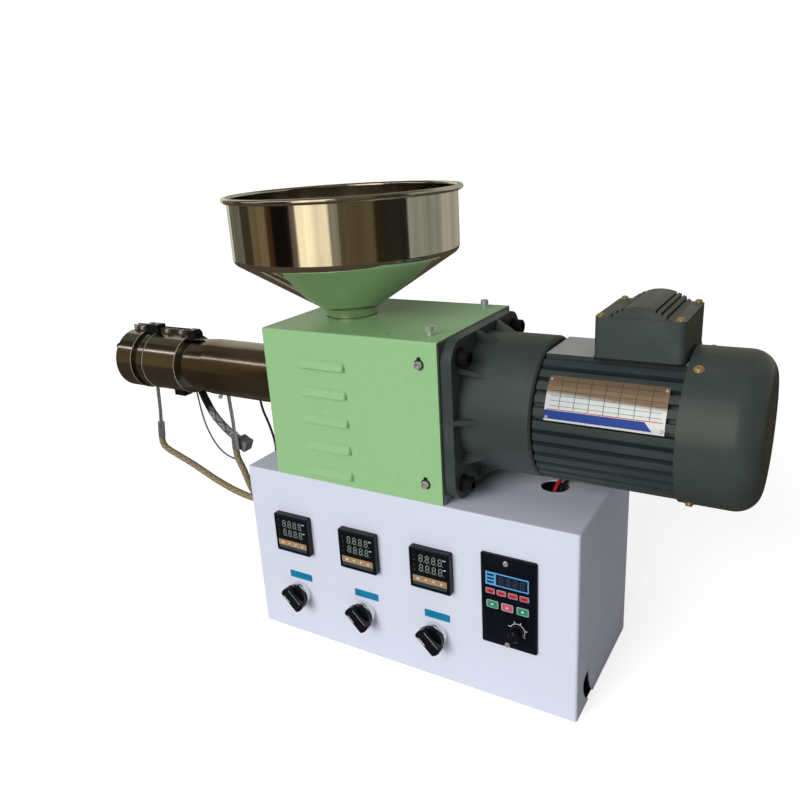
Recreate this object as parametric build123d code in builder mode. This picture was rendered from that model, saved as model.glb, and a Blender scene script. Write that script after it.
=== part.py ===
from build123d import *
import math
import os

os.makedirs("parts", exist_ok=True)

# The origin is on the floor under the middle of the control box.
# X runs along the barrel towards the motor, Y runs to the back, Z is up. Sizes are in millimetres.

# Control box
box_length = 404.0
box_depth = 178.0
box_height = 213.0
box_sheet = 1.5
box_corner = 3.0
floor_thickness = 1.5
panel_fit = 0.2
wire_hole_x = 145.4
wire_hole_y = 2.0
wire_hole_radius = 15.0
outlet_front_y = -68.9
outlet_tip_y = -49.4
outlet_back_y = -34.5
outlet_height = 38.7

# Temperature controllers and selector switches, in three columns
column_pitch = 91.5
column_first_x = -139.0
controller_z = 138.5
controller_size = 48.0
controller_proud = 8.5
controller_body = 44.8
controller_body_depth = 60.0
controller_window = 43.0
controller_window_depth = 0.8
switch_first_x = -140.5
switch_pitch = 92.2
switch_z = 56.5
bezel_radius = 14.5
bezel_length = 8.0
bezel_collar_radius = 11.0
bezel_collar_depth = 18.0
bezel_nut_radius = 14.0
bezel_nut_length = 5.0
shaft_radius = 3.0
shaft_fit = 0.05
handle_radius = 16.0
handle_width = 15.0
handle_angle = -45.0
handle_front = 20.0
skirt_radius = 13.5
skirt_length = 3.4
turning_gap = 0.6

# Speed panel
speed_panel_x = 131.0
speed_panel_z = 121.0
speed_panel_width = 60.0
speed_panel_height = 105.0
speed_panel_proud = 3.0
speed_body_width = 54.0
speed_body_height = 94.0
speed_body_depth = 55.0
speed_knob_x = 140.6
speed_knob_z = 92.5
speed_knob_radius = 6.5
speed_knob_length = 12.0

# Hood
hood_left = -156.5
hood_right = 59.0
hood_depth = 176.0
hood_height = 171.0
hood_sheet = 1.5
hood_bend = 2.5
louvre_count = 5
louvre_length = 59.0
louvre_height = 9.0
louvre_proud = 5.0
louvre_x = -79.0
louvre_drop = 29.7
louvre_pitch = 30.9

# Barrel, screw and feed
screw_height = 86.0
screw_radius = 12.5
screw_root_radius = 8.5
screw_pitch = 25.0
flight_land = 3.0
flight_root = 0.5
flight_end_gap = 22.0
bore_fit = 0.1
barrel_radius = 36.5
barrel_neck_radius = 33.0
barrel_end_x = -462.0
barrel_taper_start_x = -359.0
barrel_taper_end_x = -317.0
ring_left_x = -431.5
ring_right_x = -421.5
ring_radius = 39.0
die_thickness = 8.0
nozzle_radius = 11.0
nozzle_length = 12.0
nozzle_orifice = 1.5
band_1_left_x = -470.0
band_1_right_x = -440.0
band_1_radius = 40.0
band_2_left_x = -420.0
band_2_radius = 39.0
band_split = 6.0
lug_height = 8.0
lug_thickness = 1.6
lug_inset = 6.0
terminal_length = 14.0
terminal_width = 14.0
terminal_height = 8.0
terminal_slope = 4.0
ring_terminal_length = 24.0
ring_terminal_height = 11.0
lower_terminal_x = -391.0
lower_terminal_length = 19.0
hood_hole_gap = 1.5
feed_left_x = -142.0
feed_right_x = -50.0
feed_width = 80.0
feed_height = 136.0
feed_wall = 1.4
throat_radius = 20.0
housing_radius = 45.0
housing_waist_radius = 32.0
housing_flange = 10.0

# Hopper
hopper_x = -96.0
hopper_radius = 124.8
hopper_sheet = 1.5
hopper_rise = 73.5
hopper_height = 63.2
hopper_corner = 8.0
rim_radius = 3.0
cone_rise = 6.0
neck_radius = 27.0
socket_depth = 8.0
socket_fit = 0.3

# Bracket in the hood's open end
bracket_right_x = 60.0
bracket_thickness = 12.0
bracket_arm_length = 20.0
bracket_arm_thickness = 5.0
hood_fit = 0.3

# Geared motor
motor_rise = 4.0
flange_size = 168.0
flange_corner = 22.0
flange_thickness = 12.0
spigot_radius = 40.0
spigot_length = 6.0
spigot_fit = 0.05
shank_radius = 10.0
shank_depth = 40.0
bell_radius = 72.0
bell_length = 62.0
rib_count = 10
rib_thickness = 5.0
rib_reach = 12.0
rib_length = 22.0
adapter_length = 11.5
stator_gap = 2.5
stator_length = 128.0
stator_core_radius = 64.0
fin_radius = 71.5
fin_count = 30
fin_free_angle = 35.0
fin_thickness = 7.5
pad_rise = 65.0
pad_width = 66.0
ledge_width = 78.0
ledge_drop = 9.0
cowl_radius = 73.5
cowl_length = 67.0
cowl_end_radius = 51.0
cowl_sheet = 1.5
end_shield_length = 14.0
cowl_fit = 0.2
grille_slots = 24
grille_slot_width = 3.0
grille_inner_radius = 36.0
grille_outer_radius = 47.0
fan_radius = 62.0
fan_hub_radius = 16.0
fan_blades = 8
fan_blade_thickness = 2.5
fan_length = 22.0
fan_shaft_radius = 7.0

# Junction box
junction_x = 234.0
junction_length = 79.0
junction_y = 3.75
junction_width = 88.5
junction_height = 36.0
junction_corner = 6.0
lid_thickness = 3.5
arch_rise = 11.0
arch_width = 56.0
arch_inset = 1.0
lid_groove_first_x = 14.5
lid_groove_pitch = 4.7
lid_groove_width = 1.8
lid_groove_depth = 2.2
gland_radius = 8.0
gland_length = 10.0
gland_height = 18.0

# Cords
sleeve_diameter = 9.0
heater_sleeve_diameter = 13.0
earth_wire_diameter = 2.3
heater_wire_diameter = 3.2
lead_diameter = 4.0
probe_diameter = 4.8
probe_bend_radius = 60.0
probe_seat = 0.5
probe_bend_z = 220.0
probe_1_top_x = -442.0
probe_1_bend_x = -445.0
probe_1_end_x = -451.0
probe_1_end_z = 179.0
probe_2_top_x = -307.0
probe_2_bend_x = -305.0
probe_2_end_x = -306.3
probe_2_end_z = 183.0
ferrule_diameter = 9.6
ferrule_length = 24.0
connector_length = 16.5
connector_width = 15.0
connector_tilt = 25.0

front_face = Plane.XZ.offset(box_depth / 2)
screw_z = box_height + screw_height
motor_z = screw_z + motor_rise
feed_top_z = box_height + feed_height
pad_top_z = motor_z + pad_rise
flange_left_x = bracket_right_x
flange_right_x = flange_left_x + flange_thickness
bell_right_x = flange_right_x + bell_length
adapter_right_x = bell_right_x + adapter_length
stator_left_x = adapter_right_x + stator_gap
stator_right_x = stator_left_x + stator_length
cowl_right_x = stator_right_x + cowl_length
hood_top_z = box_height + hood_height
hopper_bottom_z = hood_top_z + hopper_rise
hopper_top_z = hopper_bottom_z + hopper_height
cone_bottom_z = hood_top_z + cone_rise
hood_length = hood_right - hood_left
hood_middle_x = (hood_left + hood_right) / 2
connector_plane = Plane(
    origin=(-303.09, 14, 186.74),
    x_dir=(math.cos(math.radians(connector_tilt)), 0, -math.sin(math.radians(connector_tilt))),
    z_dir=(0, -1, 0),
)


def save(builder, label):
    """Label a finished piece and write its STEP file."""
    builder.part.label = label
    export_step(builder.part, f"parts/{label}.step")


def bend_radii(points):
    """Radius at each inner point of a route, as large as its two runs allow."""
    radii = []
    for before, here, after in zip(points, points[1:], points[2:]):
        arriving = Vector(*here) - Vector(*before)
        leaving = Vector(*after) - Vector(*here)
        half_turn = math.radians(arriving.get_angle(leaving)) / 2
        radii.append(0.45 * min(arriving.length, leaving.length) / math.tan(half_turn))
    return radii


def save_cord(points, diameter, label):
    """Make a cord's tube along its route, print its radii and write it."""
    radii = bend_radii(points)
    start = Vector(*points[0])
    with BuildPart() as tube:
        with BuildLine() as route:
            FilletPolyline(*points, radius=radii)
        with BuildSketch(Plane(origin=start, z_dir=Vector(*points[1]) - start)):
            Circle(diameter / 2)
        sweep(path=route.wires()[0])
    save(tube, label)
    length = route.wires()[0].length
    expected = math.pi * diameter**2 / 4 * length
    smallest = min(radii) / diameter
    print(f"{label}: length {length:.1f}, volume ratio {tube.part.volume / expected:.4f},")
    print(f"  radii {[round(radius, 1) for radius in radii]}, smallest {smallest:.1f} diameters")


# Control box: a folded sheet shell, open below

with BuildPart() as control_box:
    with BuildSketch():
        RectangleRounded(box_length, box_depth, box_corner)
    extrude(amount=box_height)
    fillet(control_box.faces().sort_by(Axis.Z)[-1].edges(), radius=box_corner - 1)
    with BuildSketch():
        RectangleRounded(box_length - 2 * box_sheet, box_depth - 2 * box_sheet, box_corner - box_sheet)
    extrude(amount=box_height - box_sheet, mode=Mode.SUBTRACT)
    with BuildSketch(front_face):
        with Locations([(column_first_x + column_pitch * n, controller_z) for n in range(3)]):
            Rectangle(controller_body + 2 * panel_fit, controller_body + 2 * panel_fit)
        with Locations([(switch_first_x + switch_pitch * n, switch_z) for n in range(3)]):
            Circle(bezel_collar_radius + panel_fit)
        with Locations((speed_panel_x, speed_panel_z)):
            Rectangle(speed_body_width + 2 * panel_fit, speed_body_height + 2 * panel_fit)
    extrude(amount=-box_corner, mode=Mode.SUBTRACT)
    with BuildSketch(Plane.XY.offset(box_height)):
        with Locations((wire_hole_x, wire_hole_y)):
            Circle(wire_hole_radius)
    extrude(amount=-box_corner, mode=Mode.SUBTRACT)
    with BuildSketch(Plane.YZ.offset(box_length / 2)):
        with BuildLine():
            Spline(
                (outlet_tip_y, 0),
                (outlet_front_y + 2.5, outlet_height * 0.5),
                (outlet_front_y, outlet_height * 0.76),
                (outlet_tip_y, outlet_height),
            )
            Spline((outlet_tip_y, outlet_height), (outlet_tip_y + 3.5, outlet_height / 2), (outlet_back_y, 0))
            Line((outlet_back_y, 0), (outlet_tip_y, 0))
        make_face()
    extrude(amount=-box_corner, mode=Mode.SUBTRACT)
save(control_box, "control_box")

with BuildPart() as bottom_plate:
    with BuildSketch():
        inset = 2 * (box_sheet + panel_fit)
        RectangleRounded(box_length - inset, box_depth - inset, box_corner - box_sheet)
    extrude(amount=floor_thickness)
save(bottom_plate, "bottom_plate")


# Temperature controllers

for column in range(3):
    controller_x = column_first_x + column_pitch * column
    with BuildPart() as controller:
        with BuildSketch(front_face):
            with Locations((controller_x, controller_z)):
                RectangleRounded(controller_size, controller_size, 1.5)
        extrude(amount=controller_proud)
        chamfer(controller.faces().sort_by(Axis.Y)[0].edges(), length=1.0)
        with BuildSketch(front_face.offset(controller_proud)):
            with Locations((controller_x, controller_z)):
                Rectangle(controller_window, controller_window)
        extrude(amount=-controller_window_depth, mode=Mode.SUBTRACT)
        with BuildSketch(front_face):
            with Locations((controller_x, controller_z)):
                Rectangle(controller_body, controller_body)
        extrude(amount=-controller_body_depth)
    save(controller, f"temperature_controller_{column + 1}")


# Selector switches: a fixed bezel and a turning handle

for column in range(3):
    switch_x = switch_first_x + switch_pitch * column
    with BuildPart() as bezel:
        with BuildSketch(front_face):
            with Locations((switch_x, switch_z)):
                Circle(bezel_radius)
        extrude(amount=bezel_length)
        fillet(bezel.faces().sort_by(Axis.Y)[0].edges(), radius=1.5)
        with BuildSketch(front_face):
            with Locations((switch_x, switch_z)):
                Circle(bezel_collar_radius)
        extrude(amount=-bezel_collar_depth)
        with BuildSketch(front_face.offset(-box_sheet)):
            with Locations((switch_x, switch_z)):
                RegularPolygon(bezel_nut_radius, 6)
        extrude(amount=-bezel_nut_length)
        with BuildSketch(front_face.offset(bezel_length)):
            with Locations((switch_x, switch_z)):
                Circle(shaft_radius + shaft_fit)
        extrude(amount=-bezel_length - bezel_collar_depth, mode=Mode.SUBTRACT)
    save(bezel, f"switch_bezel_{column + 1}")

    with BuildPart() as handle:
        with BuildSketch(front_face.offset(bezel_length + turning_gap)):
            with Locations((switch_x, switch_z)):
                Circle(skirt_radius)
        extrude(amount=skirt_length)
        with BuildSketch(front_face.offset(bezel_length + turning_gap + skirt_length)):
            with Locations(Location((switch_x, switch_z), handle_angle)):
                Rectangle(2 * handle_radius, handle_width)
            with Locations((switch_x, switch_z)):
                Circle(handle_radius, mode=Mode.INTERSECT)
        extrude(amount=handle_front - bezel_length - turning_gap - skirt_length)
        chamfer(handle.faces().sort_by(Axis.Y)[0].edges(), length=0.8)
        with BuildSketch(front_face.offset(bezel_length + turning_gap)):
            with Locations((switch_x, switch_z)):
                Circle(shaft_radius)
        extrude(amount=-bezel_length - turning_gap - bezel_collar_depth / 2)
    save(handle, f"switch_knob_{column + 1}")


# Speed panel with its potentiometer knob

with BuildPart() as speed_panel:
    with BuildSketch(front_face):
        with Locations((speed_panel_x, speed_panel_z)):
            RectangleRounded(speed_panel_width, speed_panel_height, 2.0)
    extrude(amount=speed_panel_proud)
    chamfer(speed_panel.faces().sort_by(Axis.Y)[0].edges(), length=0.8)
    with BuildSketch(front_face):
        with Locations((speed_panel_x, speed_panel_z)):
            Rectangle(speed_body_width, speed_body_height)
    extrude(amount=-speed_body_depth)
    with BuildSketch(front_face.offset(speed_panel_proud)):
        with Locations((speed_knob_x, speed_knob_z)):
            Circle(shaft_radius + shaft_fit)
    extrude(amount=-speed_panel_proud - speed_knob_length, mode=Mode.SUBTRACT)
save(speed_panel, "speed_panel")

with BuildPart() as speed_knob:
    with BuildSketch(front_face.offset(speed_panel_proud + turning_gap)):
        with Locations((speed_knob_x, speed_knob_z)):
            Circle(speed_knob_radius)
    extrude(amount=speed_knob_length)
    chamfer(speed_knob.faces().sort_by(Axis.Y)[0].edges(), length=0.8)
    with BuildSketch(front_face.offset(speed_panel_proud + turning_gap)):
        with Locations((speed_knob_x, speed_knob_z)):
            Circle(shaft_radius)
    extrude(amount=-speed_panel_proud - turning_gap - speed_knob_length / 2)
save(speed_knob, "speed_knob")


# Hood: a folded cover, open below and on its right, with louvres pressed outwards

with BuildPart() as louvre:
    with BuildSketch(Plane.YZ.offset(-louvre_length / 2)):
        with BuildLine():
            Line((0, louvre_height), (0, 0))
            Line((0, 0), (-louvre_proud, 0))
            ThreePointArc(
                (-louvre_proud, 0),
                (-louvre_proud * 0.62, louvre_height * 0.62),
                (0, louvre_height),
            )
        make_face()
    extrude(amount=louvre_length)
    fillet(louvre.edges().filter_by(GeomType.CIRCLE), radius=louvre_proud * 0.7)

with BuildPart() as louvre_void:
    void_height = louvre_height - hood_sheet
    void_proud = louvre_proud - 0.8 * hood_sheet
    void_length = louvre_length - 2 * hood_sheet
    with BuildSketch(Plane.YZ.offset(-void_length / 2)):
        with BuildLine():
            Line((0, void_height), (0, 0))
            Line((0, 0), (-void_proud, 0))
            ThreePointArc(
                (-void_proud, 0),
                (-void_proud * 0.62, void_height * 0.62),
                (0, void_height),
            )
        make_face()
    extrude(amount=void_length)
    with BuildSketch(Plane.XZ):
        with Locations((0, void_height / 2)):
            Rectangle(void_length, void_height)
    extrude(amount=-2 * hood_sheet)

louvre_top_z = hood_top_z - louvre_drop - louvre_height
louvre_places = [
    Location((louvre_x, side * hood_depth / 2, louvre_top_z - louvre_pitch * n), turn)
    for side, turn in ((-1, (0, 0, 0)), (1, (0, 0, 180)))
    for n in range(louvre_count)
]

with BuildPart() as hood:
    with BuildSketch(Plane.XY.offset(box_height)):
        with Locations((hood_middle_x, 0)):
            Rectangle(hood_length, hood_depth)
    extrude(amount=hood_height)
    folded = hood.edges().filter_by(Axis.Z).group_by(Axis.X)[0]
    folded += hood.faces().sort_by(Axis.Z)[-1].edges().sort_by(Axis.X)[:-1]
    fillet(folded, radius=hood_bend)
    with BuildSketch(Plane.XY.offset(box_height)):
        with Locations((hood_middle_x + hood_sheet / 2, 0)):
            Rectangle(hood_length - hood_sheet, hood_depth - 2 * hood_sheet)
    extrude(amount=hood_height - hood_sheet, mode=Mode.SUBTRACT)
    with BuildSketch(Plane.YZ.offset(hood_left)):
        with Locations((0, screw_z)):
            Circle(barrel_radius + hood_hole_gap)
    extrude(amount=2 * hood_sheet, mode=Mode.SUBTRACT)
    with BuildSketch(Plane.XY.offset(hood_top_z)):
        with Locations((hood_middle_x + hood_bend / 2, 0)):
            Rectangle(hood_length - hood_bend, hood_depth - 2 * hood_bend)
    extrude(amount=-hood_sheet, mode=Mode.SUBTRACT)
    with Locations(louvre_places):
        add(louvre.part)
    with Locations(louvre_places):
        add(louvre_void.part, mode=Mode.SUBTRACT)
save(hood, "hood")

with BuildPart() as hood_top:
    with BuildSketch(Plane.XY.offset(hood_top_z)):
        with Locations((hood_middle_x + hood_bend / 2, 0)):
            Rectangle(hood_length - hood_bend, hood_depth - 2 * hood_bend)
        with Locations((hopper_x, 0)):
            Circle(neck_radius + hood_hole_gap, mode=Mode.SUBTRACT)
    extrude(amount=-hood_sheet)
save(hood_top, "hood_top")


# Steel bracket that carries the drive

with BuildPart() as motor_bracket:
    bracket_width = hood_depth - 2 * hood_sheet - 2 * hood_fit
    bracket_top_z = hood_top_z - hood_sheet - hood_fit
    bracket_height = bracket_top_z - box_height
    with BuildSketch(Plane.YZ.offset(bracket_right_x)):
        with Locations((0, box_height + bracket_height / 2)):
            Rectangle(bracket_width, bracket_height)
    extrude(amount=-bracket_thickness - bracket_arm_length)
    with BuildSketch(Plane.YZ.offset(bracket_right_x - bracket_thickness)):
        with Locations((0, box_height + bracket_height / 2)):
            Rectangle(bracket_width - 2 * bracket_arm_thickness, bracket_height + 2)
    extrude(amount=-bracket_arm_length, mode=Mode.SUBTRACT)
    with BuildSketch(Plane.YZ.offset(bracket_right_x)):
        with Locations((0, screw_z)):
            Circle(spigot_radius + spigot_fit)
    extrude(amount=-bracket_thickness, mode=Mode.SUBTRACT)
save(motor_bracket, "motor_bracket")


# Feed block, throat flange, bearing housing and screw

screw_axis = Axis((0, 0, screw_z), (1, 0, 0))
feed_middle_x = (feed_left_x + feed_right_x) / 2
feed_length = feed_right_x - feed_left_x
feed_seat_z = screw_z + screw_radius + bore_fit + feed_wall

with BuildPart() as feed_block:
    with BuildSketch(Plane.XY.offset(box_height)):
        with Locations((feed_middle_x, 0)):
            Rectangle(feed_length, feed_width)
    extrude(amount=feed_seat_z - box_height)
    with BuildSketch(Plane.YZ.offset(feed_left_x)):
        with Locations((0, screw_z)):
            Circle(screw_radius + bore_fit)
    extrude(amount=feed_length, mode=Mode.SUBTRACT)
    with BuildSketch(Plane.XY.offset(feed_seat_z)):
        with Locations((hopper_x, 0)):
            Circle(throat_radius)
    extrude(amount=screw_z - feed_seat_z, mode=Mode.SUBTRACT)
save(feed_block, "feed_block")

with BuildPart() as feed_throat:
    with BuildSketch(Plane.XY.offset(feed_seat_z)):
        with Locations((feed_middle_x, 0)):
            Rectangle(feed_length, feed_width)
        with Locations((hopper_x, 0)):
            Circle(throat_radius, mode=Mode.SUBTRACT)
    extrude(amount=feed_top_z - feed_seat_z)
    with BuildSketch(Plane.XY.offset(feed_top_z)):
        with Locations((hopper_x, 0)):
            Circle(neck_radius + socket_fit)
    extrude(amount=-socket_depth, mode=Mode.SUBTRACT)
save(feed_throat, "feed_throat")

with BuildPart() as bearing_housing:
    with BuildSketch(Plane.XZ):
        with BuildLine():
            Polyline(
                (feed_right_x, screw_z + shank_radius + shaft_fit),
                (feed_right_x, screw_z + housing_radius),
                (feed_right_x + housing_flange, screw_z + housing_radius),
                (feed_right_x + housing_flange, screw_z + housing_waist_radius),
                (bracket_right_x - bracket_thickness - housing_flange, screw_z + housing_waist_radius),
                (bracket_right_x - bracket_thickness - housing_flange, screw_z + housing_radius),
                (bracket_right_x - bracket_thickness, screw_z + housing_radius),
                (bracket_right_x - bracket_thickness, screw_z + shank_radius + shaft_fit),
                close=True,
            )
        make_face()
    revolve(axis=screw_axis)
save(bearing_housing, "bearing_housing")

flight_start_x = barrel_end_x + flight_land
flight_depth = screw_radius - screw_root_radius
with BuildPart() as feed_screw:
    with BuildSketch(Plane.YZ.offset(barrel_end_x)):
        with Locations((0, screw_z)):
            Circle(screw_root_radius)
    extrude(amount=feed_right_x - barrel_end_x)
    with BuildLine() as flight_path:
        Helix(
            pitch=screw_pitch,
            height=feed_right_x - flight_end_gap - flight_start_x,
            radius=screw_root_radius,
            center=(flight_start_x, 0, screw_z),
            direction=(1, 0, 0),
        )
    flight_start = flight_path.line @ 0
    with BuildSketch(
        Plane(
            origin=flight_start,
            x_dir=flight_start - Vector(flight_start_x, 0, screw_z),
            z_dir=flight_path.line % 0,
        )
    ):
        with Locations(((flight_depth - flight_root) / 2, 0)):
            Rectangle(flight_depth + flight_root, flight_land)
    sweep(path=flight_path.wires()[0], is_frenet=True)
    with BuildSketch(Plane.YZ.offset(feed_right_x)):
        with Locations((0, screw_z)):
            Circle(shank_radius)
    extrude(amount=flange_left_x + shank_depth - feed_right_x)
save(feed_screw, "feed_screw")


# Barrel with its die plate and nozzle

with BuildPart() as barrel:
    with BuildSketch(Plane.XZ):
        with BuildLine():
            Polyline(
                (barrel_end_x, screw_z + screw_radius + bore_fit),
                (barrel_end_x, screw_z + barrel_neck_radius),
                (ring_left_x, screw_z + barrel_neck_radius),
                (ring_left_x, screw_z + ring_radius),
                (ring_right_x, screw_z + ring_radius),
                (ring_right_x, screw_z + barrel_neck_radius),
                (barrel_taper_start_x, screw_z + barrel_neck_radius),
                (barrel_taper_end_x, screw_z + barrel_radius),
                (feed_left_x, screw_z + barrel_radius),
                (feed_left_x, screw_z + screw_radius + bore_fit),
                close=True,
            )
        make_face()
    revolve(axis=screw_axis)
save(barrel, "barrel")

with BuildPart() as die_plate:
    with BuildSketch(Plane.YZ.offset(barrel_end_x)):
        with Locations((0, screw_z)):
            Circle(barrel_neck_radius)
    extrude(amount=-die_thickness)
    with BuildSketch(Plane.YZ.offset(barrel_end_x)):
        with Locations((0, screw_z)):
            Circle(nozzle_radius)
    extrude(amount=-die_thickness, mode=Mode.SUBTRACT)
save(die_plate, "die_plate")

with BuildPart() as nozzle:
    with BuildSketch(Plane.YZ.offset(barrel_end_x)):
        with Locations((0, screw_z)):
            Circle(nozzle_radius)
    extrude(amount=-nozzle_length)
    with BuildSketch(Plane.YZ.offset(barrel_end_x)):
        with Locations((0, screw_z)):
            Circle(nozzle_orifice)
    extrude(amount=-nozzle_length, mode=Mode.SUBTRACT)
save(nozzle, "nozzle")


# Heater bands, split on top with two upright lugs

bands = (
    (band_1_left_x, band_1_right_x, band_1_radius),
    (band_2_left_x, barrel_taper_start_x, band_2_radius),
)
for number, (left_x, right_x, radius) in enumerate(bands, start=1):
    with BuildPart() as band:
        with BuildSketch(Plane.YZ.offset(left_x)):
            with Locations((0, screw_z)):
                Circle(radius)
                Circle(barrel_neck_radius, mode=Mode.SUBTRACT)
        extrude(amount=right_x - left_x)
        with BuildSketch(Plane.YZ.offset(left_x + lug_inset)):
            with Locations((0, screw_z + radius + lug_height / 2 - 1)):
                Rectangle(band_split + 2 * lug_thickness, lug_height + 2)
        extrude(amount=right_x - left_x - lug_inset)
        with BuildSketch(Plane.YZ.offset(left_x)):
            with Locations((0, screw_z + radius)):
                Rectangle(band_split, 2 * radius - 2 * barrel_neck_radius + 2 * lug_height)
        extrude(amount=right_x - left_x, mode=Mode.SUBTRACT)
    save(band, f"heater_band_{number}")

with BuildPart() as terminal_blocks:
    with BuildSketch(Plane.YZ.offset(band_2_left_x + lug_inset)):
        with Locations((0, screw_z + ring_radius + ring_terminal_height / 2)):
            Rectangle(terminal_width, ring_terminal_height)
        with Locations((0, screw_z)):
            Circle(ring_radius, mode=Mode.SUBTRACT)
    extrude(amount=-ring_terminal_length)
    with BuildSketch(Plane.XZ):
        with BuildLine():
            slope_x = barrel_taper_start_x + terminal_length
            block_top_z = screw_z + band_2_radius + terminal_height
            Polyline(
                (barrel_taper_start_x, screw_z + barrel_radius),
                (barrel_taper_start_x, block_top_z),
                (slope_x - terminal_slope, block_top_z),
                (slope_x, block_top_z - terminal_slope),
                (slope_x, screw_z + barrel_radius),
                close=True,
            )
        make_face()
    extrude(amount=terminal_width / 2, both=True)
    with BuildSketch(Plane.XY.offset(screw_z - band_2_radius)):
        with Locations((lower_terminal_x, 0)):
            Rectangle(lower_terminal_length, terminal_width)
    extrude(amount=-terminal_height)
save(terminal_blocks, "terminal_blocks")


# Hopper: a straight bin with a rolled rim, and the funnel welded under it

with BuildPart() as hopper_bin:
    with BuildSketch(Plane.XZ):
        with Locations((hopper_x + hopper_radius, hopper_bottom_z)):
            Rectangle(hopper_sheet, hopper_top_z - rim_radius - hopper_bottom_z, align=(Align.MAX, Align.MIN))
        with Locations((hopper_x + hopper_radius + 0.9 * rim_radius, hopper_top_z - rim_radius)):
            Circle(rim_radius)
    revolve(axis=Axis((hopper_x, 0, 0), (0, 0, 1)))
save(hopper_bin, "hopper_bin")

with BuildPart() as hopper_funnel:
    with BuildSketch(Plane.XZ):
        with BuildLine():
            FilletPolyline(
                (hopper_x + hopper_radius, hopper_bottom_z),
                (hopper_x + hopper_radius, hopper_bottom_z - 0.6 * hopper_corner),
                (hopper_x + neck_radius, cone_bottom_z),
                (hopper_x + neck_radius, feed_top_z - socket_depth),
                radius=[hopper_corner, hopper_corner],
            )
            offset(amount=-hopper_sheet, side=Side.RIGHT)
        make_face()
    revolve(axis=Axis((hopper_x, 0, 0), (0, 0, 1)))
save(hopper_funnel, "hopper_funnel")


# Gear housing: square flange, bell and ribs, with a hollow shaft for the screw's shank

motor_axis = Axis((0, 0, motor_z), (1, 0, 0))
rib_angles = [2 * math.pi * n / rib_count for n in range(rib_count)]
rib_planes = [
    Plane(
        origin=(flange_right_x, 0, motor_z),
        x_dir=(1, 0, 0),
        z_dir=(0, -math.sin(angle), math.cos(angle)),
    )
    for angle in rib_angles
]

with BuildPart() as gear_housing:
    with BuildSketch(Plane.YZ.offset(flange_left_x)):
        with Locations((0, screw_z)):
            RectangleRounded(flange_size, flange_size, flange_corner)
    extrude(amount=flange_thickness)
    with BuildSketch(Plane.YZ.offset(flange_left_x)):
        with Locations((0, screw_z)):
            Circle(spigot_radius)
    extrude(amount=-spigot_length)
    with BuildSketch(Plane.YZ.offset(flange_right_x)):
        with Locations((0, motor_z)):
            Circle(bell_radius)
    extrude(amount=bell_length)
    with BuildSketch(*rib_planes):
        with BuildLine():
            Polyline(
                (0, bell_radius - rib_thickness),
                (0, bell_radius + rib_reach),
                (rib_length, bell_radius),
                (rib_length, bell_radius - rib_thickness),
                close=True,
            )
        make_face()
    extrude(amount=rib_thickness / 2, both=True)
    with BuildSketch(Plane.YZ.offset(flange_left_x - spigot_length)):
        with Locations((0, screw_z)):
            Circle(shank_radius + spigot_fit)
    extrude(amount=spigot_length + shank_depth, mode=Mode.SUBTRACT)
save(gear_housing, "gear_housing")

with BuildPart() as adapter_ring:
    with BuildSketch(Plane.YZ.offset(bell_right_x)):
        with Locations((0, motor_z)):
            Circle(bell_radius)
    extrude(amount=adapter_length)
    chamfer(adapter_ring.faces().sort_by(Axis.X)[-1].edges(), length=2.0)
save(adapter_ring, "adapter_ring")


# Stator frame with cooling fins, terminal pad and end shield

with BuildPart() as stator_frame:
    with BuildSketch(Plane.YZ.offset(adapter_right_x)):
        with Locations((0, motor_z)):
            Circle(stator_core_radius)
    extrude(amount=stator_gap + stator_length)
    with BuildSketch(Plane.YZ.offset(stator_left_x)):
        with Locations((0, motor_z)):
            with PolarLocations(
                stator_core_radius,
                fin_count,
                start_angle=90 + fin_free_angle,
                angular_range=360 - 2 * fin_free_angle,
                endpoint=True,
            ):
                Rectangle(2 * (fin_radius - stator_core_radius), fin_thickness)
            Circle(fin_radius, mode=Mode.INTERSECT)
    extrude(amount=stator_length)
    with BuildSketch(Plane.YZ.offset(stator_left_x)):
        with Locations((0, (motor_z + pad_top_z) / 2)):
            Rectangle(pad_width, pad_top_z - motor_z)
        with Locations((0, (motor_z + pad_top_z - ledge_drop) / 2)):
            Rectangle(ledge_width, pad_top_z - ledge_drop - motor_z)
    extrude(amount=stator_length)
    with BuildSketch(Plane.YZ.offset(stator_right_x)):
        with Locations((0, motor_z)):
            Circle(cowl_radius - cowl_sheet - cowl_fit)
    extrude(amount=end_shield_length)
    with BuildSketch(Plane.YZ.offset(stator_right_x)):
        with Locations((0, motor_z)):
            Circle(fan_shaft_radius)
    extrude(amount=end_shield_length + fan_length)
save(stator_frame, "stator_frame")

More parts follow.
